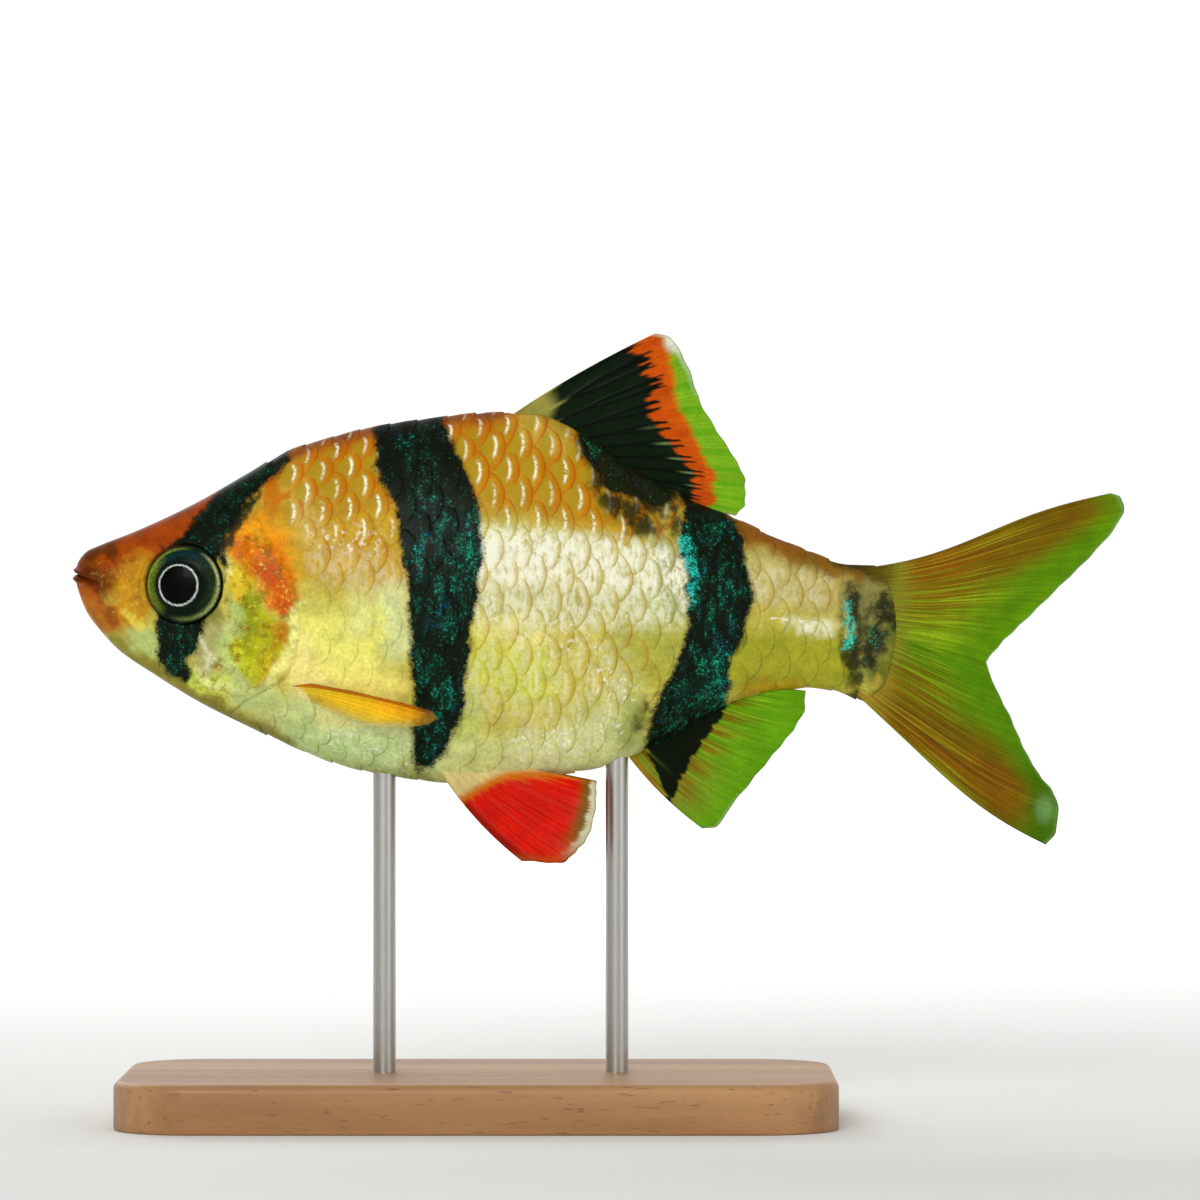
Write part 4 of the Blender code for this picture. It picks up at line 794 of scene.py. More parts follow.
def brushed_stainless():
    """Stainless rod brushed round its length: grey metal with fine lines that soften its shine."""
    made, shader, place, add = new_finish("brushed_stainless", Base_Color=linear("#B9B8B4"), Metallic=1.0)
    # The brush lines are coarser than real ones, so that they show
    lines = add("Mapping", {"Vector": place, "Scale": per_size(3.333, 3.333, 0.1111)})
    lines = add("TexNoise", {"Vector": lines, "Scale": 1.0, "Detail": 3.0})
    wire(add, shader, lines, 0.25, 0.02, Roughness=add("MapRange", (lines, 0, 1, 0.22, 0.46)))
    return made


def studio_paper():
    """Seamless studio paper: matt, pale and plain."""
    return new_finish("studio_paper", Base_Color=linear("#F4F4F2"), Roughness=0.9)[0]


# Body


def body_paint(x, z):
    """The airbrushed ground colour at places on the side, without bands; a few strokes in it are painted
    light under the belly and below the pectoral fin.
    """
    x, z = wander(x, z, PAINT_WANDERS)
    return layered(len(x), "cream", *(
        (paint, strength * ease(softness, 0, stroke_gap(x, z, path)))
        for paint, strength, softness, path in BODY_STROKES
    ))


def note_markings(mesh, x, z):
    """Stores the markings that skin and scales share."""
    edge_x, edge_z = wander(x, z, BANDS_WANDER)
    band = np.max([-stroke_gap(edge_x, edge_z, path) for path in BANDS], 0)
    note(mesh, "paint", body_paint(x, z))
    note(mesh, "band", np.clip(band, -3, 3))
    note(mesh, "smudge", strokes_at(x, z, SMUDGES))
    note(mesh, "glitter", strokes_at(*wander(x, z, GLITTER_WANDERS), GLITTER))


def head_relief(x, z):
    """How far the bare skin stands out from the plain body at places on its side, in millimetres."""
    edge = smooth(HEAD_EDGE, z)
    height = -COAT_DEPTH * ease(*SKIN_STEP, x - edge) * (1 - COAT_LOSS * ease(*COAT_THINS, x))
    front = smooth(COVER_FRONT, z)
    share = np.clip((x - front) / (edge - front), 0, 1)
    past, within = COVER_FADE
    fade = ease(COVER_LOW - past, COVER_LOW + within, z) * ease(COVER_HIGH + past, COVER_HIGH - within, z)
    swell = ease(0, COVER_RISE, share) * (1 - COVER_ROUND * share**3) * ease(*COVER_STEP, x - edge)
    height += COVER_PROUD * fade * swell
    height -= COVER_GROOVE * fade * bump(x - front, GROOVE_WIDTH)
    eye = np.hypot(x - EYE_X, z - EYE_Z)
    height += ORBIT_RIM * bump(eye - EYE_RADIUS - ORBIT_GAP, ORBIT_WIDTH)
    height -= SOCKET_DEPTH * ease(*SOCKET_STEP, eye - EYE_RADIUS)
    lower = ease(2.0, -1.0, z - EYE_Z) * ease(4.5, 6.5, x)
    height += CHEEK_FOLD * lower * (bump(eye - CHEEK_RINGS[0], 0.2) - bump(eye - CHEEK_RINGS[1], 0.14))
    for pit_x, pit_z, size in NOSTRILS:
        away = np.hypot(x - pit_x, z - pit_z)
        height += NOSTRIL_RIM * bump(away - size * 1.5, 0.1) - NOSTRIL_DEPTH * bump(away, size)
    line = MOUTH_FRONT_Z + (MOUTH_CORNER_Z - MOUTH_FRONT_Z) * x / MOUTH_CORNER_X
    lips = bump(z - line - LIP_OFFSET, LIP_WIDTH) + 1.1 * bump(z - line + LIP_OFFSET, LIP_WIDTH)
    end = ease(MOUTH_CORNER_X + 0.25, MOUTH_CORNER_X - 0.3, x)
    height += end * (LIP_HEIGHT * lips - CLEFT_DEPTH * bump(z - line, CLEFT_WIDTH))
    height -= SNOUT_TUCK * ease(1.0, 0.1, x)
    return height - JAW_DEPTH * bump(stroke_gap(x, z, JAW_LINE), JAW_WIDTH)


def skin():
    """One skin from lips to tail, bare on the head and sunk under the scales behind it."""
    def lay(turn, share):
        x = smooth(RING_PLACES, share)
        angle = turn * 2 * math.pi
        x = x - (BODY_LENGTH - smooth(STALK_END, np.sin(angle))) * ease(*STALK_TRIM, x)
        points = body(x, angle)
        side = 1 - bump(np.cos(angle), RIDGE_WIDTH)
        height = head_relief(x, points[:, 2]) * np.where(x < SNOUT_LENGTH, 1, side)
        height -= COAT_DEPTH * (1 - side) * (x > SCALED_BACK)
        points += outward(x, angle) * height[:, None]
        # The first ring closes at one point between the lips, the last along a line
        points[share < CLOSE_TO] = LIPS_CLOSE
        points[share > 1 - CLOSE_TO, 1] = 0
        return points

    made = finished(laid_grid(SKIN_AROUND, SKIN_RINGS, lay), "skin")
    x, y, z = in_fish(made.data).T
    note_markings(made.data, x, z)
    note(made.data, "glint", strokes_at(x, z, GLINTS))
    covers = ["gill_cover_left", "gill_cover_right"]
    dress(made, painted_skin(), "golden_skin", "head", "torso", "tail_stalk", *covers)


# Scales


def plate():
    """One scale as a low closed plate on the unit disc, its rim thin: points and faces."""
    bm = bmesh.new()
    bmesh.ops.create_circle(bm, cap_ends=True, segments=PLATE_SIDES, radius=1.0)
    under = bmesh.ops.extrude_face_region(bm, geom=list(bm.faces))
    low = [v for v in under["geom"] if isinstance(v, bmesh.types.BMVert)]
    bmesh.ops.translate(bm, verts=low, vec=(0, 0, -1))
    bmesh.ops.recalc_face_normals(bm, faces=bm.faces)
    top = [f for f in bm.faces if f.normal.z > 0.9]
    for thickness, rise in PLATE_STEPS:
        bmesh.ops.inset_region(bm, faces=top, thickness=thickness)
        for v in {v for f in top for v in f.verts}:
            v.co.z += rise
    bm.verts.index_update()
    points = np.array([v.co for v in bm.verts])
    faces = [[v.index for v in f.verts] for f in bm.faces]
    bm.free()
    return points, faces


def row_angle(x, reach):
    """The angle at which the girth at x has a length from the widest level, or None past the ridge."""
    turns = np.linspace(0, QUARTER, GIRTH_STEPS) * (1 if reach >= 0 else -1)
    ring = body(np.full_like(turns, x), turns)
    lengths = np.concatenate([[0], np.cumsum(np.linalg.norm(np.diff(ring, axis=0), axis=1))])
    return np.interp(abs(reach), lengths, turns) if abs(reach) <= lengths[-1] + PAST_RIDGE else None


def scale_places(side):
    """Each scale's middle x and angle, its row's spacing and its number, in staggered rows on one side."""
    places = []
    for row in SCALE_ROWS:
        for column in range(int((SCALE_STOP - SCALE_START) / SCALE_PITCH) + 1):
            number = (row + 40) * 100 + column
            x = SCALE_START + (column + 0.5 * (row % 2)) * SCALE_PITCH
            x += SCALE_SCATTER * float(jitter(number, side))
            spacing = float(smooth(ROW_SPACING, x))
            angle = row_angle(x, row * spacing)
            if angle is None:
                continue
            x_end = float(smooth(STALK_END, np.sin(angle))) - LAST_SCALES
            z = float(body(np.array(x), np.array(angle))[..., 2])
            if float(smooth(HEAD_EDGE, z)) + FIRST_SCALES <= x <= x_end:
                places.append((x, angle, spacing, number))
    return places


def scales(word, side):
    """All the scales of one side, each a curved plate that lies over the next one back."""
    points, faces = plate()
    places = scale_places(side)
    x0, turn0, spacing, number = (np.array(v, float)[:, None] for v in zip(*places))
    p, q, lift = points.T
    vary = jitter(number, 3.7)
    late = ease(*SCALES_LATE, x0)
    length = SCALE_PITCH * SCALE_LONG * (1 + SCALE_VARIES * jitter(number, 1.1)) * (1 - LATE_SHRINK * late)
    tall = spacing * SCALE_TALL * (1 + SCALE_VARIES * vary)
    x = x0 + length / 2 * (p * (1 - PLATE_ROUND * q * q) + PLATE_BACK)
    turned = body(x0, turn0 + GIRTH_STEP) - body(x0, turn0 - GIRTH_STEP)
    girth = np.linalg.norm(turned, axis=-1) / (2 * GIRTH_STEP)
    angle = turn0 + q * tall / girth
    back = (p + 1) / 2
    height = PLATE_FRONT + (PLATE_REAR - PLATE_FRONT + TILT_VARIES * jitter(number, 9.3)) * back
    height = height - PLATE_CAMBER * q * q + np.where(lift < 0, -PLATE_THICK, PLATE_THICK * lift)
    height = height - LATE_SINK * late * back
    x = np.minimum(x, BODY_LENGTH - 0.02)
    spots = body(x, angle) + outward(x, angle) * height[..., None]
    spots[..., 1] *= side
    mesh = bpy.data.meshes.new("scales_" + word)
    count, each = len(places), len(points)
    order = [face[::-1] for face in faces] if side < 0 else faces
    corners = np.concatenate([np.concatenate(order) + i * each for i in range(count)])
    sizes = np.tile([len(face) for face in order], count)
    starts = np.cumsum(sizes) - sizes
    mesh.vertices.add(count * each)
    mesh.vertices.foreach_set("co", in_frame(spots).astype(np.float32).ravel())
    mesh.loops.add(len(corners))
    mesh.loops.foreach_set("vertex_index", corners.astype(np.int32))
    mesh.polygons.add(len(sizes))
    mesh.polygons.foreach_set("loop_start", starts.astype(np.int32))
    mesh.update(calc_edges=True)
    mesh.shade_smooth()
    sx, sz = spots[..., 0].ravel(), spots[..., 2].ravel()
    note_markings(mesh, sx, sz)
    note(mesh, "along", np.tile(back, (count, 1)).ravel())
    note(mesh, "across", np.tile(q, (count, 1)).ravel())
    note(mesh, "draw", np.repeat(vary * 0.5 + 0.5, each))
    for name, strokes in SCALE_MARKS.items():
        note(mesh, name, strokes_at(sx, sz, strokes))
    line = np.min([stroke_gap(sx, sz, path) for path in LATERAL_LINE], 0)
    note(mesh, "lateral", np.clip(line, 0, 1))
    bake_patches(mesh, x0, turn0, p, q, lift, corners)
    dress(placed(mesh.name, mesh), pearly_scales(), "golden_skin")


def bake_patches(mesh, x0, turn0, p, q, lift, corners):
    """Gives each scale its own small patch on an unwrap of the skin, its underside beside it."""
    u = PATCH_START + PATCH_LENGTH * x0 / BODY_LENGTH + PATCH / 2 * p
    v = 0.5 + PATCH_HEIGHT * turn0 / QUARTER + PATCH / 2 * q + np.where(lift < 0, UNDERSIDE * PATCH, 0)
    spots = np.stack([u.ravel(), v.ravel()], -1)[corners]
    mesh.uv_layers.new(name="OFBake").data.foreach_set("uv", spots.astype(np.float32).ravel())


# Fins


def fin_curve(points, share):
    """Points on a curve through (share, x, y, z) points."""
    return np.stack([smooth([(p[0], p[axis]) for p in points], share) for axis in (1, 2, 3)], -1)


def fin_middle(fin, across, along):
    """Points of the fin's middle surface, with a small notch in the margin between rays."""
    root, tip = fin_curve(fin["roots"], across), fin_curve(fin["tips"], across)
    ray = tip - root
    reach = np.linalg.norm(ray, axis=-1)
    bow, sway = (fin[bend][0] * (1 - across) + fin[bend][1] * across for bend in ("bow", "sway"))
    bend = bow * 4 * along * (1 - along) + sway * np.sin(2 * np.pi * along)
    square = np.stack([-ray[:, 2], 0 * reach, ray[:, 0]], -1) * fin["turn"]
    square /= np.linalg.norm(square, axis=-1, keepdims=True)
    nearest = across * (fin["rays"] - 1)
    notch = NOTCH * np.abs(nearest - np.round(nearest)) * 2 * ease(0.8, 1.0, along)
    points = root + ray * (along - notch / reach)[:, None] + square * bend[:, None]
    points[:, 1] += fin["wave"] * along**2 * np.sin(np.pi * across) + fin["lift"] * 4 * along * (1 - along)
    return points


def ray_lines(fin, across, along):
    """How strongly a place lies on a bony ray, 0 to 1. Each ray forks twice on its way out."""
    phase = across * (fin["rays"] - 1)
    off = phase - np.round(phase)
    fork = FORK * ease(*FORK_PLACE, along)
    twig = TWIG * ease(*TWIG_PLACE, along)
    width = RAY_WIDTH - RAY_TAPER * along
    return np.max([bump(off - a * fork - b * twig, width) for a in (-1, 1) for b in (-1, 1)], 0)


def fin_thickness(fin, across, along):
    """Half the fin's thickness: membrane, jointed rays, a firm leading edge, a fillet and round margins."""
    length = np.linalg.norm(fin_curve(fin["tips"], across) - fin_curve(fin["roots"], across), axis=-1)
    pulse = np.sin(2 * np.pi * along * length / JOINT_LENGTH)
    joints = 1 - JOINT_DEPTH * ease(*JOINT_SHAPE, pulse) * ease(*JOINTS_START, along)
    thick = MEMBRANE_HALF + RAY_HALF * ray_lines(fin, across, along) * joints * (1 - RAY_THINS * along)
    thick += LEADING_EDGE * bump(across, LEADING_WIDTH) * (1 - LEADING_THINS * along)
    thick += (fin["root"] - MEMBRANE_HALF) * np.maximum(0, 1 - along / FILLET_REACH) ** 2
    edge = np.clip(np.minimum(across, 1 - across) / EDGE_REACH, 0, 1)
    margin = np.clip((along - 1 + MARGIN_REACH) / MARGIN_REACH, 0, 1)
    return thick * np.sqrt(1 - (1 - edge) ** 2) * np.sqrt(1 - margin**2) * np.clip(along / ROOT_REACH, 0, 1)


def fin(name, kind, paint, slot, light, dark, vivid=1.0, clear=False, side=1):
    """A closed fin: a folded sheet whose two faces carry the rays and meet at the margin."""
    def at(across, along):
        return fin_middle(kind, np.clip(across, 0, 1), np.clip(along, 0, 1))

    def lay(across, share):
        along = np.where(share < 0.5, share * 2, 2 - share * 2)
        face = np.where(share < 0.5, 1, -1)
        over = at(across + FIN_STEP, along) - at(across - FIN_STEP, along)
        out = at(across, along + FIN_STEP) - at(across, along - FIN_STEP)
        normal = np.cross(over, out)
        normal /= np.maximum(np.linalg.norm(normal, axis=-1, keepdims=True), TINY)
        points = at(across, along) + normal * (fin_thickness(kind, across, along) * face)[:, None]
        points[:, 1] *= side
        return points

    columns = (kind["rays"] - 1) * kind["columns"]
    bm = laid_grid(columns, 2 * kind["rows"], lay)
    layers = [bm.verts.layers.float.new(word) for word in ("across", "along")]
    for i, v in enumerate(bm.verts):
        row, column = divmod(i, columns + 1)
        v[layers[0]] = column / columns
        v[layers[1]] = 1 - abs(1 - row / kind["rows"])
    made = finished(bm, name, weld=2e-7)
    mesh = made.data
    across, along = np.zeros((2, len(mesh.vertices)))
    mesh.attributes["across"].data.foreach_get("value", across)
    mesh.attributes["along"].data.foreach_get("value", along)
    x, y, z = in_fish(mesh).T
    colours = paint(across, along, x, z, ray_lines(kind, across, along))
    note(mesh, "paint", colours)
    streaks = vivid * ease(0.0, 0.12, along) * (1 - 0.75 * ease(0.4, 0.9, along))
    note(mesh, "streaks", streaks * ease(0.01, 0.06, colours[:, :3].max(1)))
    if clear:
        note(mesh, "cover", 0.95 * (1 - 0.7 * ease(0.3, 0.95, across)) * (1 - 0.8 * ease(0.8, 0.96, along)))
    dress(made, rayed_fin(name + "_skin", kind["rays"], clear, light, dark), slot, name)


def dorsal_paint(across, along, x, z, line):
    """Black rays rising from a dark base, a red-orange band, a clear green margin and a white tip."""
    ray = np.round(across * (DORSAL["rays"] - 1))
    black, red, pale = (smooth(DORSAL_EDGES[name], across) for name in ("black", "red", "pale"))
    past_black = along - black - 0.03 * jitter(ray, 2.3) - 0.09 * (line - 0.5)
    inked = ease(0.02, -0.02, past_black)
    gap = (1 - line) * bump(across * 10 - ray, 0.1) * ease(0.5, 0.62, along) * ease(0.35, 0.5, across)
    return layered(
        len(x), "#6AAC14",
        ("lime", 0.5 * line),
        ("red_orange", ease(0.03, -0.03, along - red - 0.03 * jitter(ray, 5.1))),
        ("#E06A0C", 0.5 * line * ease(0.02, -0.02, along - red)),
        ("#050B03", ease(0.015, -0.015, past_black)),
        ("#142C16", 0.35 * (1 - line) * inked),
        ("#7FA060", 0.75 * gap * inked * ease(-0.16, -0.06, past_black)),
        ("#A29C48", ease(0.05, -0.05, along - pale - 0.06 * (line - 0.5))),
        ("white", 0.9 * ease(0.9, 0.3, np.hypot(x - 37.1, z - 15.9))),
        ("white", 0.5 * ease(0.035, 0.01, 1 - along) * ease(0.35, 0.15, across)),
        ("#B8AE78", 0.8 * ease(0.985, 0.995, across)),
    )


def anal_paint(across, along, x, z, line):
    """Clear green with orange-brown streaks in front, and the third band's black foot at its base."""
    streak = bump(across * 7 - np.round(across * 7), 0.24) * ease(0.8, 0.3, along)
    gap = stroke_gap(x, z, BANDS[-1])
    phase = across * 7 + 0.3
    dabs = bump(phase - np.round(phase), 0.17) * ease(1.8, 0.4, gap) * ease(0.02, 0.12, across)
    return layered(
        len(x), "#5E9C08",
        ("#8CBA22", 0.6 * line * ease(1.0, 0.4, along)),
        ("olive", 0.7 * ease(0.5, 0.0, across) * ease(1.0, 0.6, along)),
        ("fin_brown", 0.9 * streak * ease(0.95, 0.5, across)),
        ("#B4560A", 0.8 * streak * ease(0.35, 0.05, across) * ease(0.85, 0.5, along)),
        ("orange", 0.9 * ease(0.35, 0.15, -4.95 - z) * ease(40.5, 41.5, x)),
        ("#84500A", 0.9 * dabs),
        ("ink", ease(0.14, -0.06, gap + 0.2 * line)),
        ("lime", 0.6 * line * ease(0.5, 0.2, along) * ease(0.16, 0.04, across)),
        ("white", 0.35 * ease(0.03, 0.0, 1 - along) * ease(0.35, 0.1, across)),
    )


def tail_upper_paint(across, along, x, z, line):
    """Orange-brown along the upper edge, then green with pale rays, and green tips."""
    ray = np.round(across * (TAIL_UPPER["rays"] - 1))
    pale_ray = (0.65 + 0.3 * jitter(ray, 4.4)) * (0.4 + 0.6 * line)
    streak = (1 - line) * ease(0.85, 0.35, along)
    return layered(
        len(x), "#508404",
        ("#9CC01C", pale_ray * ease(0.95, 0.45, along)),
        ("fin_brown", 0.85 * streak * ease(1.0, 0.5, across)),
        ("#765606", 0.97 * ease(0.56, 0.24, across + 0.32 * ease(0.6, 1.0, along))),
        ("#9C5A08", 0.75 * bump(along - 0.28, 0.24) * bump(across - 0.16, 0.16)),
        ("#4E3206", 0.6 * line * ease(0.55, 0.2, across) * ease(1.0, 0.5, along)),
        ("#5A9206", 0.85 * ease(0.88, 1.0, along + 0.1 * across)),
        ("#868628", 0.85 * ease(52.4, 50.6, x)),
        ("#4A3608", 0.9 * ease(51.2, 49.8, x) * ease(0.3, 1.4, z)),
        ("#A8C890", 0.35 * ease(0.02, 0.0, 1 - along)),
    )


def tail_lower_paint(across, along, x, z, line):
    """Green towards the fork, orange-brown along the lower edge, darker at the tip, yellow at the root."""
    ray = np.round(across * (TAIL_LOWER["rays"] - 1))
    pale_ray = (0.55 + 0.3 * jitter(ray, 7.4)) * line
    streak = (1 - line) * ease(0.85, 0.3, along)
    lower_edge = bump(across - 0.85, 0.14) * ease(0.02, 0.2, along) * ease(1.0, 0.7, along)
    return layered(
        len(x), "#4E8404",
        ("#8CB41C", pale_ray * ease(0.95, 0.4, along)),
        ("fin_brown", 0.8 * streak * ease(0.0, 0.4, across)),
        ("#705204", 0.92 * ease(0.3, 0.62, across) * ease(1.0, 0.75, along)),
        ("#8A4C06", 0.7 * lower_edge),
        ("#4A3406", 0.55 * line * ease(0.3, 0.7, across) * ease(1.0, 0.5, along)),
        ("#8E842A", 0.85 * ease(52.2, 50.4, x) * ease(-4.6, -3.6, z)),
        ("#A8882A", 0.8 * ease(0.22, 0.06, along) * ease(0.3, 0.5, across)),
        ("#9E9A24", 0.6 * ease(0.98, 1.0, across) * ease(0.9, 0.5, along)),
        ("#3A6C04", 0.9 * ease(0.8, 0.98, along) * ease(0.4, 0.75, across)),
        ("#7FAE72", 0.45 * ease(1.0, 0.3, np.hypot((x - 59.9) * 1.2, (z + 12.9) * 0.8))),
        ("#A8C890", 0.3 * ease(0.02, 0.0, 1 - along)),
    )


def pelvic_paint(across, along, x, z, line):
    """Scarlet with a dark leading edge, yellow at its front root and a white rear margin."""
    above = z - smooth(PELVIC_BASE, x)
    return layered(
        len(x), "scarlet",
        ("#B81202", 0.3 * (1 - line)),
        ("#7E1206", 0.8 * ease(0.12, 0.02, across)),
        ("#A64A06", 0.75 * ease(0.14, 0.0, 1 - along)),
        ("#6E5A10", 0.9 * ease(0.19, 0.08, 1 - along) * ease(0.28, 0.6, across)),
        ("#CFD0A8", 0.95 * ease(0.075, 0.05, 1 - along + 0.02 * line) * ease(0.22, 0.62, across)),
        ("#C88C18", 0.9 * ease(0.3, 0.1, along + 0.5 * across)),
        ("#C87A14", 0.9 * ease(-0.3, 0.2, above + 0.3 * line)),
        ("#D6D08C", 0.9 * ease(0.1, 0.7, above)),
    )


def pectoral_paint(across, along, x, z, line):
    """Yellow with a brown upper edge, orange towards the tip and paler below."""
    return layered(
        len(x), "yellow",
        ("#FFE04A", 0.7 * ease(0.35, 0.1, along)),
        ("#F8980C", 0.75 * ease(0.45, 0.75, along) * ease(0.45, 0.1, across)),
        ("#E8D63C", 0.85 * ease(0.4, 0.9, across)),
        ("#D0960C", 0.25 * line),
        ("#B65406", 0.9 * ease(0.07, 0.02, across)),
    )


# Eyes


def side_width(x, z):
    """The body's half width at one place on its side."""
    middle = float(smooth(WIDEST, x))
    reach = float(smooth(BACK, x)) - middle if z > middle else middle - float(smooth(BELLY, x))
    rise = min(abs(z - middle) / reach, 0.98)
    taper = 1 - BACK_TAPER * rise**2 if z > middle else 1
    return float(smooth(HALF_WIDTH, x)) * math.sqrt(1 - rise**2) * taper


def eye(word, side):
    """An eye spun about its own axis: a domed iris, a raised pupil and a wall down into the socket."""
    profile = []
    for i in range(EYE_RINGS + 1):
        share = i / EYE_RINGS
        dome = (EYE_BULGE + EYE_RIM_DROP) * math.sqrt(1 - (EYE_DOME * share) ** 2) - EYE_RIM_DROP
        profile.append((EYE_RADIUS * share, dome + PUPIL_RISE * float(ease(*PUPIL_EDGE, share))))
    profile += [(EYE_RADIUS, -EYE_WALL), (EYE_RADIUS * EYE_NARROWS, -EYE_DEPTH), (0.0, -EYE_DEPTH)]
    bm = spun(profile)

    def on_side(dx, dz):
        return Vector((EYE_X + dx, side_width(EYE_X + dx, EYE_Z + dz), EYE_Z + dz))

    along = (on_side(EYE_STEP, 0) - on_side(-EYE_STEP, 0)).normalized()
    out = (on_side(0, EYE_STEP) - on_side(0, -EYE_STEP)).cross(along).normalized()
    up = along.cross(out).normalized()
    seat = Matrix((along, up, out)).transposed().to_4x4()
    seat.translation = on_side(0, 0)
    paint = eye_paint(*np.array([v.co[:2] for v in bm.verts]).T)
    bmesh.ops.transform(bm, matrix=seat, verts=bm.verts)
    layer = bm.verts.layers.float_color.new("paint")
    for v, colour in zip(bm.verts, paint):
        v[layer] = colour
        v.co = in_frame((v.co.x, v.co.y * side, v.co.z))
    dress(finished(bm, "eye_" + word), lacquered_eye(), "eye", "eye_" + word)


def eye_paint(x, z):
    """Rings of colour round the pupil, in millimetres from the eye's middle."""
    pupil = np.hypot(x - PUPIL_X, z - PUPIL_Z)
    rim = np.hypot(x, z)
    turn = np.arctan2(z, x)
    return layered(
        len(x), "#0A170C",
        ("#0C3E40", 0.6 * bump(rim - 1.9, 0.28) * ease(0.3, 0.9, np.sin(turn))),
        ("#26381E", 0.6 * ease(1.45, 1.7, rim) * ease(0.4, 0.9, np.cos(turn))),
        ("#6E8026", 0.85 * ease(1.6, 2.0, rim) * ease(0.45, 0.9, -np.cos(turn))),
        ("#C6CA8C", 0.9 * bump(rim - 2.2, 0.08) * ease(0.3, 0.85, np.cos(turn + 0.1))),
        ("#7E9248", 0.7 * bump(rim - 2.14, 0.12) * ease(0.4, 0.9, np.cos(turn + 0.9))),
        ("#96A838", 0.7 * bump(rim - 2.2, 0.08) * ease(0.3, 0.9, np.cos(turn - 2.5))),
        ("#080F07", ease(2.27, 2.36, rim)),
        ("#D3DAD4", ease(1.3, 1.27, pupil)),
        ("#010201", ease(1.2, 1.17, pupil)),
    )


# Stand


def stand_base():
    """A flat oiled wood plate with round corners, a softened top edge and a fine lower chamfer."""
    def soften(edges, offset, segments):
        bmesh.ops.bevel(
            bm, geom=edges, offset=offset * MM, segments=segments, profile=0.5, affect="EDGES", material=-1,
        )

    bm = bmesh.new()
    size = Matrix.Diagonal((BASE_LENGTH * MM, BASE_WIDTH * MM, BASE_HEIGHT * MM, 1))
    bmesh.ops.create_cube(bm, size=1, matrix=size)
    soften([e for e in bm.edges if abs(e.verts[0].co.z - e.verts[1].co.z) > MM], BASE_CORNER, CORNER_CUTS)
    near_face = BASE_HEIGHT * MM * 0.49
    for level, offset, segments in ((1, BASE_BEVEL, BEVEL_CUTS), (-1, BASE_CHAMFER, CHAMFER_CUTS)):
        soften([e for e in bm.edges if min(v.co.z * level for v in e.verts) > near_face], offset, segments)
    bmesh.ops.translate(bm, verts=bm.verts, vec=Vector((BASE_SHIFT, 0, BASE_HEIGHT / 2)) * MM)
    dress(finished(bm, "stand_plate", sharp=STAND_SHARP), oiled_beech(), "wood", "stand_base")


def stand_rod(word, finish):
    """A steel rod from its socket in the base up into the belly."""
    x = ROD_PLACES[word]
    low, high = BASE_HEIGHT - ROD_SOCKET, AXIS_HEIGHT + float(smooth(BELLY, x)) + ROD_INSIDE
    bm = bmesh.new()
    bmesh.ops.create_cone(
        bm, cap_ends=True, segments=ROD_SIDES, radius1=ROD_RADIUS * MM, radius2=ROD_RADIUS * MM,
        depth=(high - low) * MM,
        matrix=Matrix.Translation(Vector((x - TOTAL_LENGTH / 2, 0, (low + high) / 2)) * MM),
    )
    dress(finished(bm, "rod_" + word, sharp=STAND_SHARP), finish, "steel", "stand_rod_" + word)


# Studio


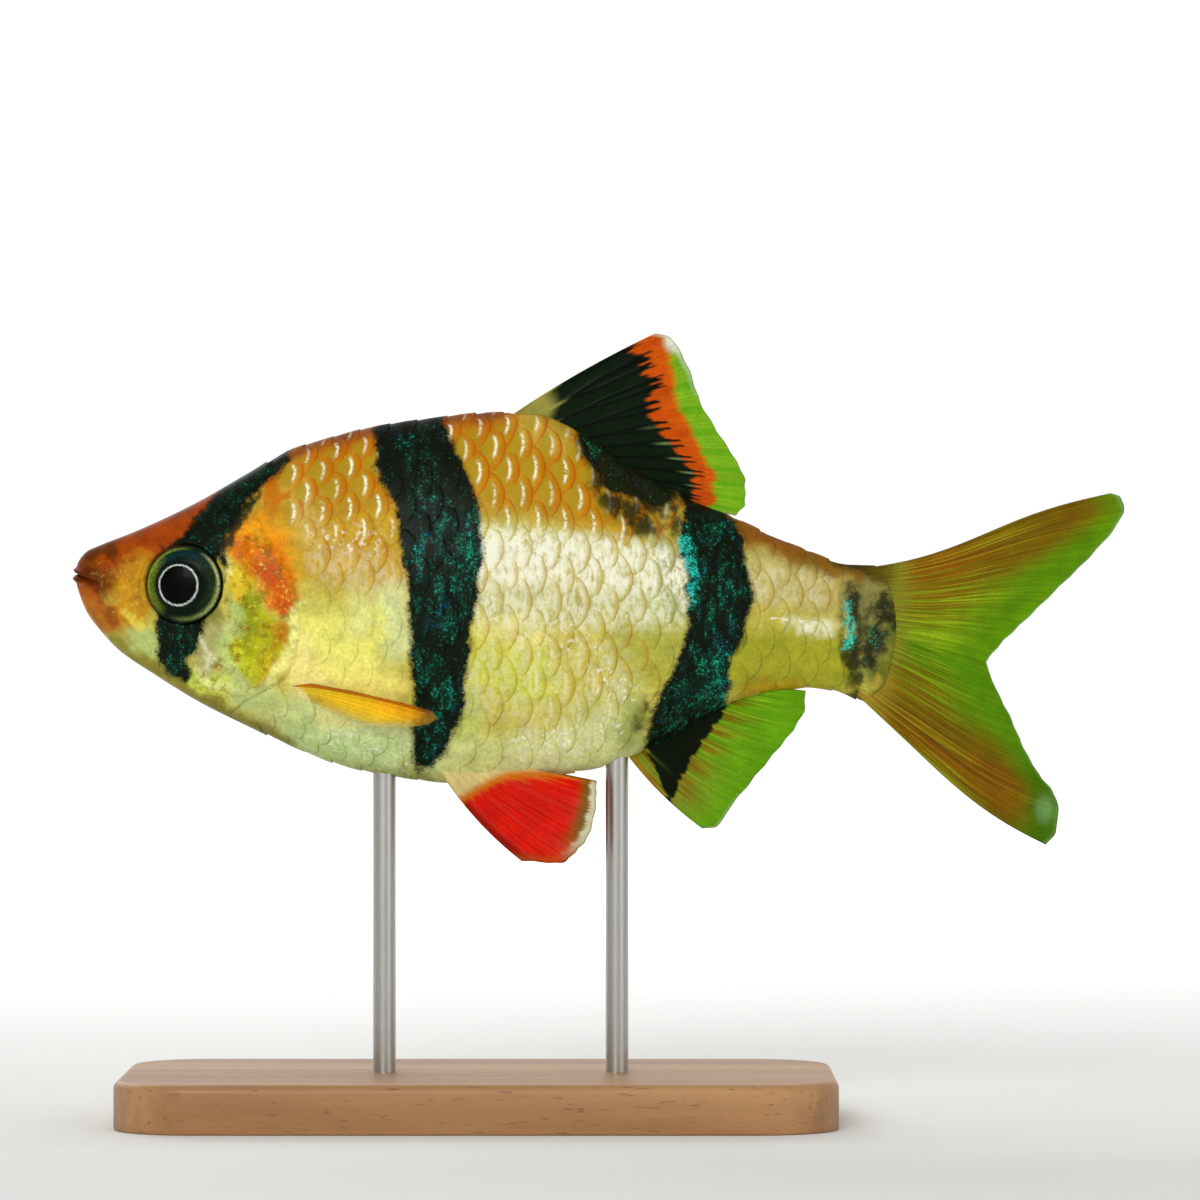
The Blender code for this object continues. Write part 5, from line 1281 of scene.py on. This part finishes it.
def studio():
    """A round pale stage that curves up behind the fish from any side, soft lights and the camera."""
    reach, cove, wall = 0.75, 0.35, 0.5
    turns = [QUARTER * i / 16 for i in range(17)]
    arc = [(reach + cove * math.sin(t), cove * (1 - math.cos(t))) for t in turns]
    profile = [(0.0, 0.0), (reach * 0.5, 0.0), *arc, (reach + cove, cove + wall)]
    floor = finished(spun(profile), "studio_floor")
    floor.data.materials.append(studio_paper())

    scene = bpy.context.scene
    scene.world = bpy.data.worlds.new("studio_air")
    scene.world.use_nodes = True
    background = scene.world.node_tree.nodes["Background"]
    background.inputs["Color"].default_value = (1, 1, 1, 1)
    background.inputs["Strength"].default_value = 0.3

    # Soft lights: name, place, what each one faces, size and power
    fish = (0, 0, 0.032)
    for name, place, aim, size, energy in (
        ("key", (-0.14, -0.48, 0.24), fish, 0.2, 1.25),
        ("fill", (0.4, -0.35, 0.12), fish, 0.3, 0.4),
        ("top", (0.05, 0.1, 0.5), fish, 0.3, 0.3),
        ("rear", (-0.25, 0.4, 0.3), fish, 0.3, 0.62),
        ("backdrop", (0, 0.3, 0.6), (0, 1.1, 0.15), 0.4, 4.6),
    ):
        lamp = bpy.data.lights.new(name, "AREA")
        lamp.size = size
        lamp.energy = energy
        light = placed(name, lamp)
        light.location = place
        light.rotation_euler = (Vector(aim) - Vector(place)).to_track_quat("-Z", "Y").to_euler()

    lens = bpy.data.cameras.new("camera")
    lens.lens = FOCAL_LENGTH
    lens.sensor_width = SENSOR_WIDTH
    lens.clip_start = 0.01
    camera = placed("camera", lens)
    distance = PHOTO_PIXELS * PIXEL * MM * FOCAL_LENGTH / SENSOR_WIDTH
    camera.location = (0, -distance, AXIS_HEIGHT * MM)
    camera.rotation_euler = (QUARTER, 0, 0)
    scene.camera = camera
    scene.view_settings.view_transform = "Standard"


studio()
skin()
for word, side in (("left", -1), ("right", 1)):
    scales(word, side)
    eye(word, side)
    names = "pectoral_fin_" + word, "pelvic_fin_" + word
    fin(names[0], PECTORAL, pectoral_paint, "orange_fin", "#FADC4A", "#DE9610", 0.45, True, side)
    fin(names[1], PELVIC, pelvic_paint, "red_fin", "#EA3408", "#B80E02", 0.35, side=side)
fin("dorsal_fin", DORSAL, dorsal_paint, "black_fin", "#2A4A1E", "#081004", 0.45)
fin("anal_fin", ANAL, anal_paint, "green_fin", "#92B822", "#5A6A08")
fin("tail_fin_upper", TAIL_UPPER, tail_upper_paint, "green_fin", "#A4B41C", "#744E08")
fin("tail_fin_lower", TAIL_LOWER, tail_lower_paint, "green_fin", "#98A81C", "#6C4A08")
stand_base()
steel = brushed_stainless()
for word in ROD_PLACES:
    stand_rod(word, steel)
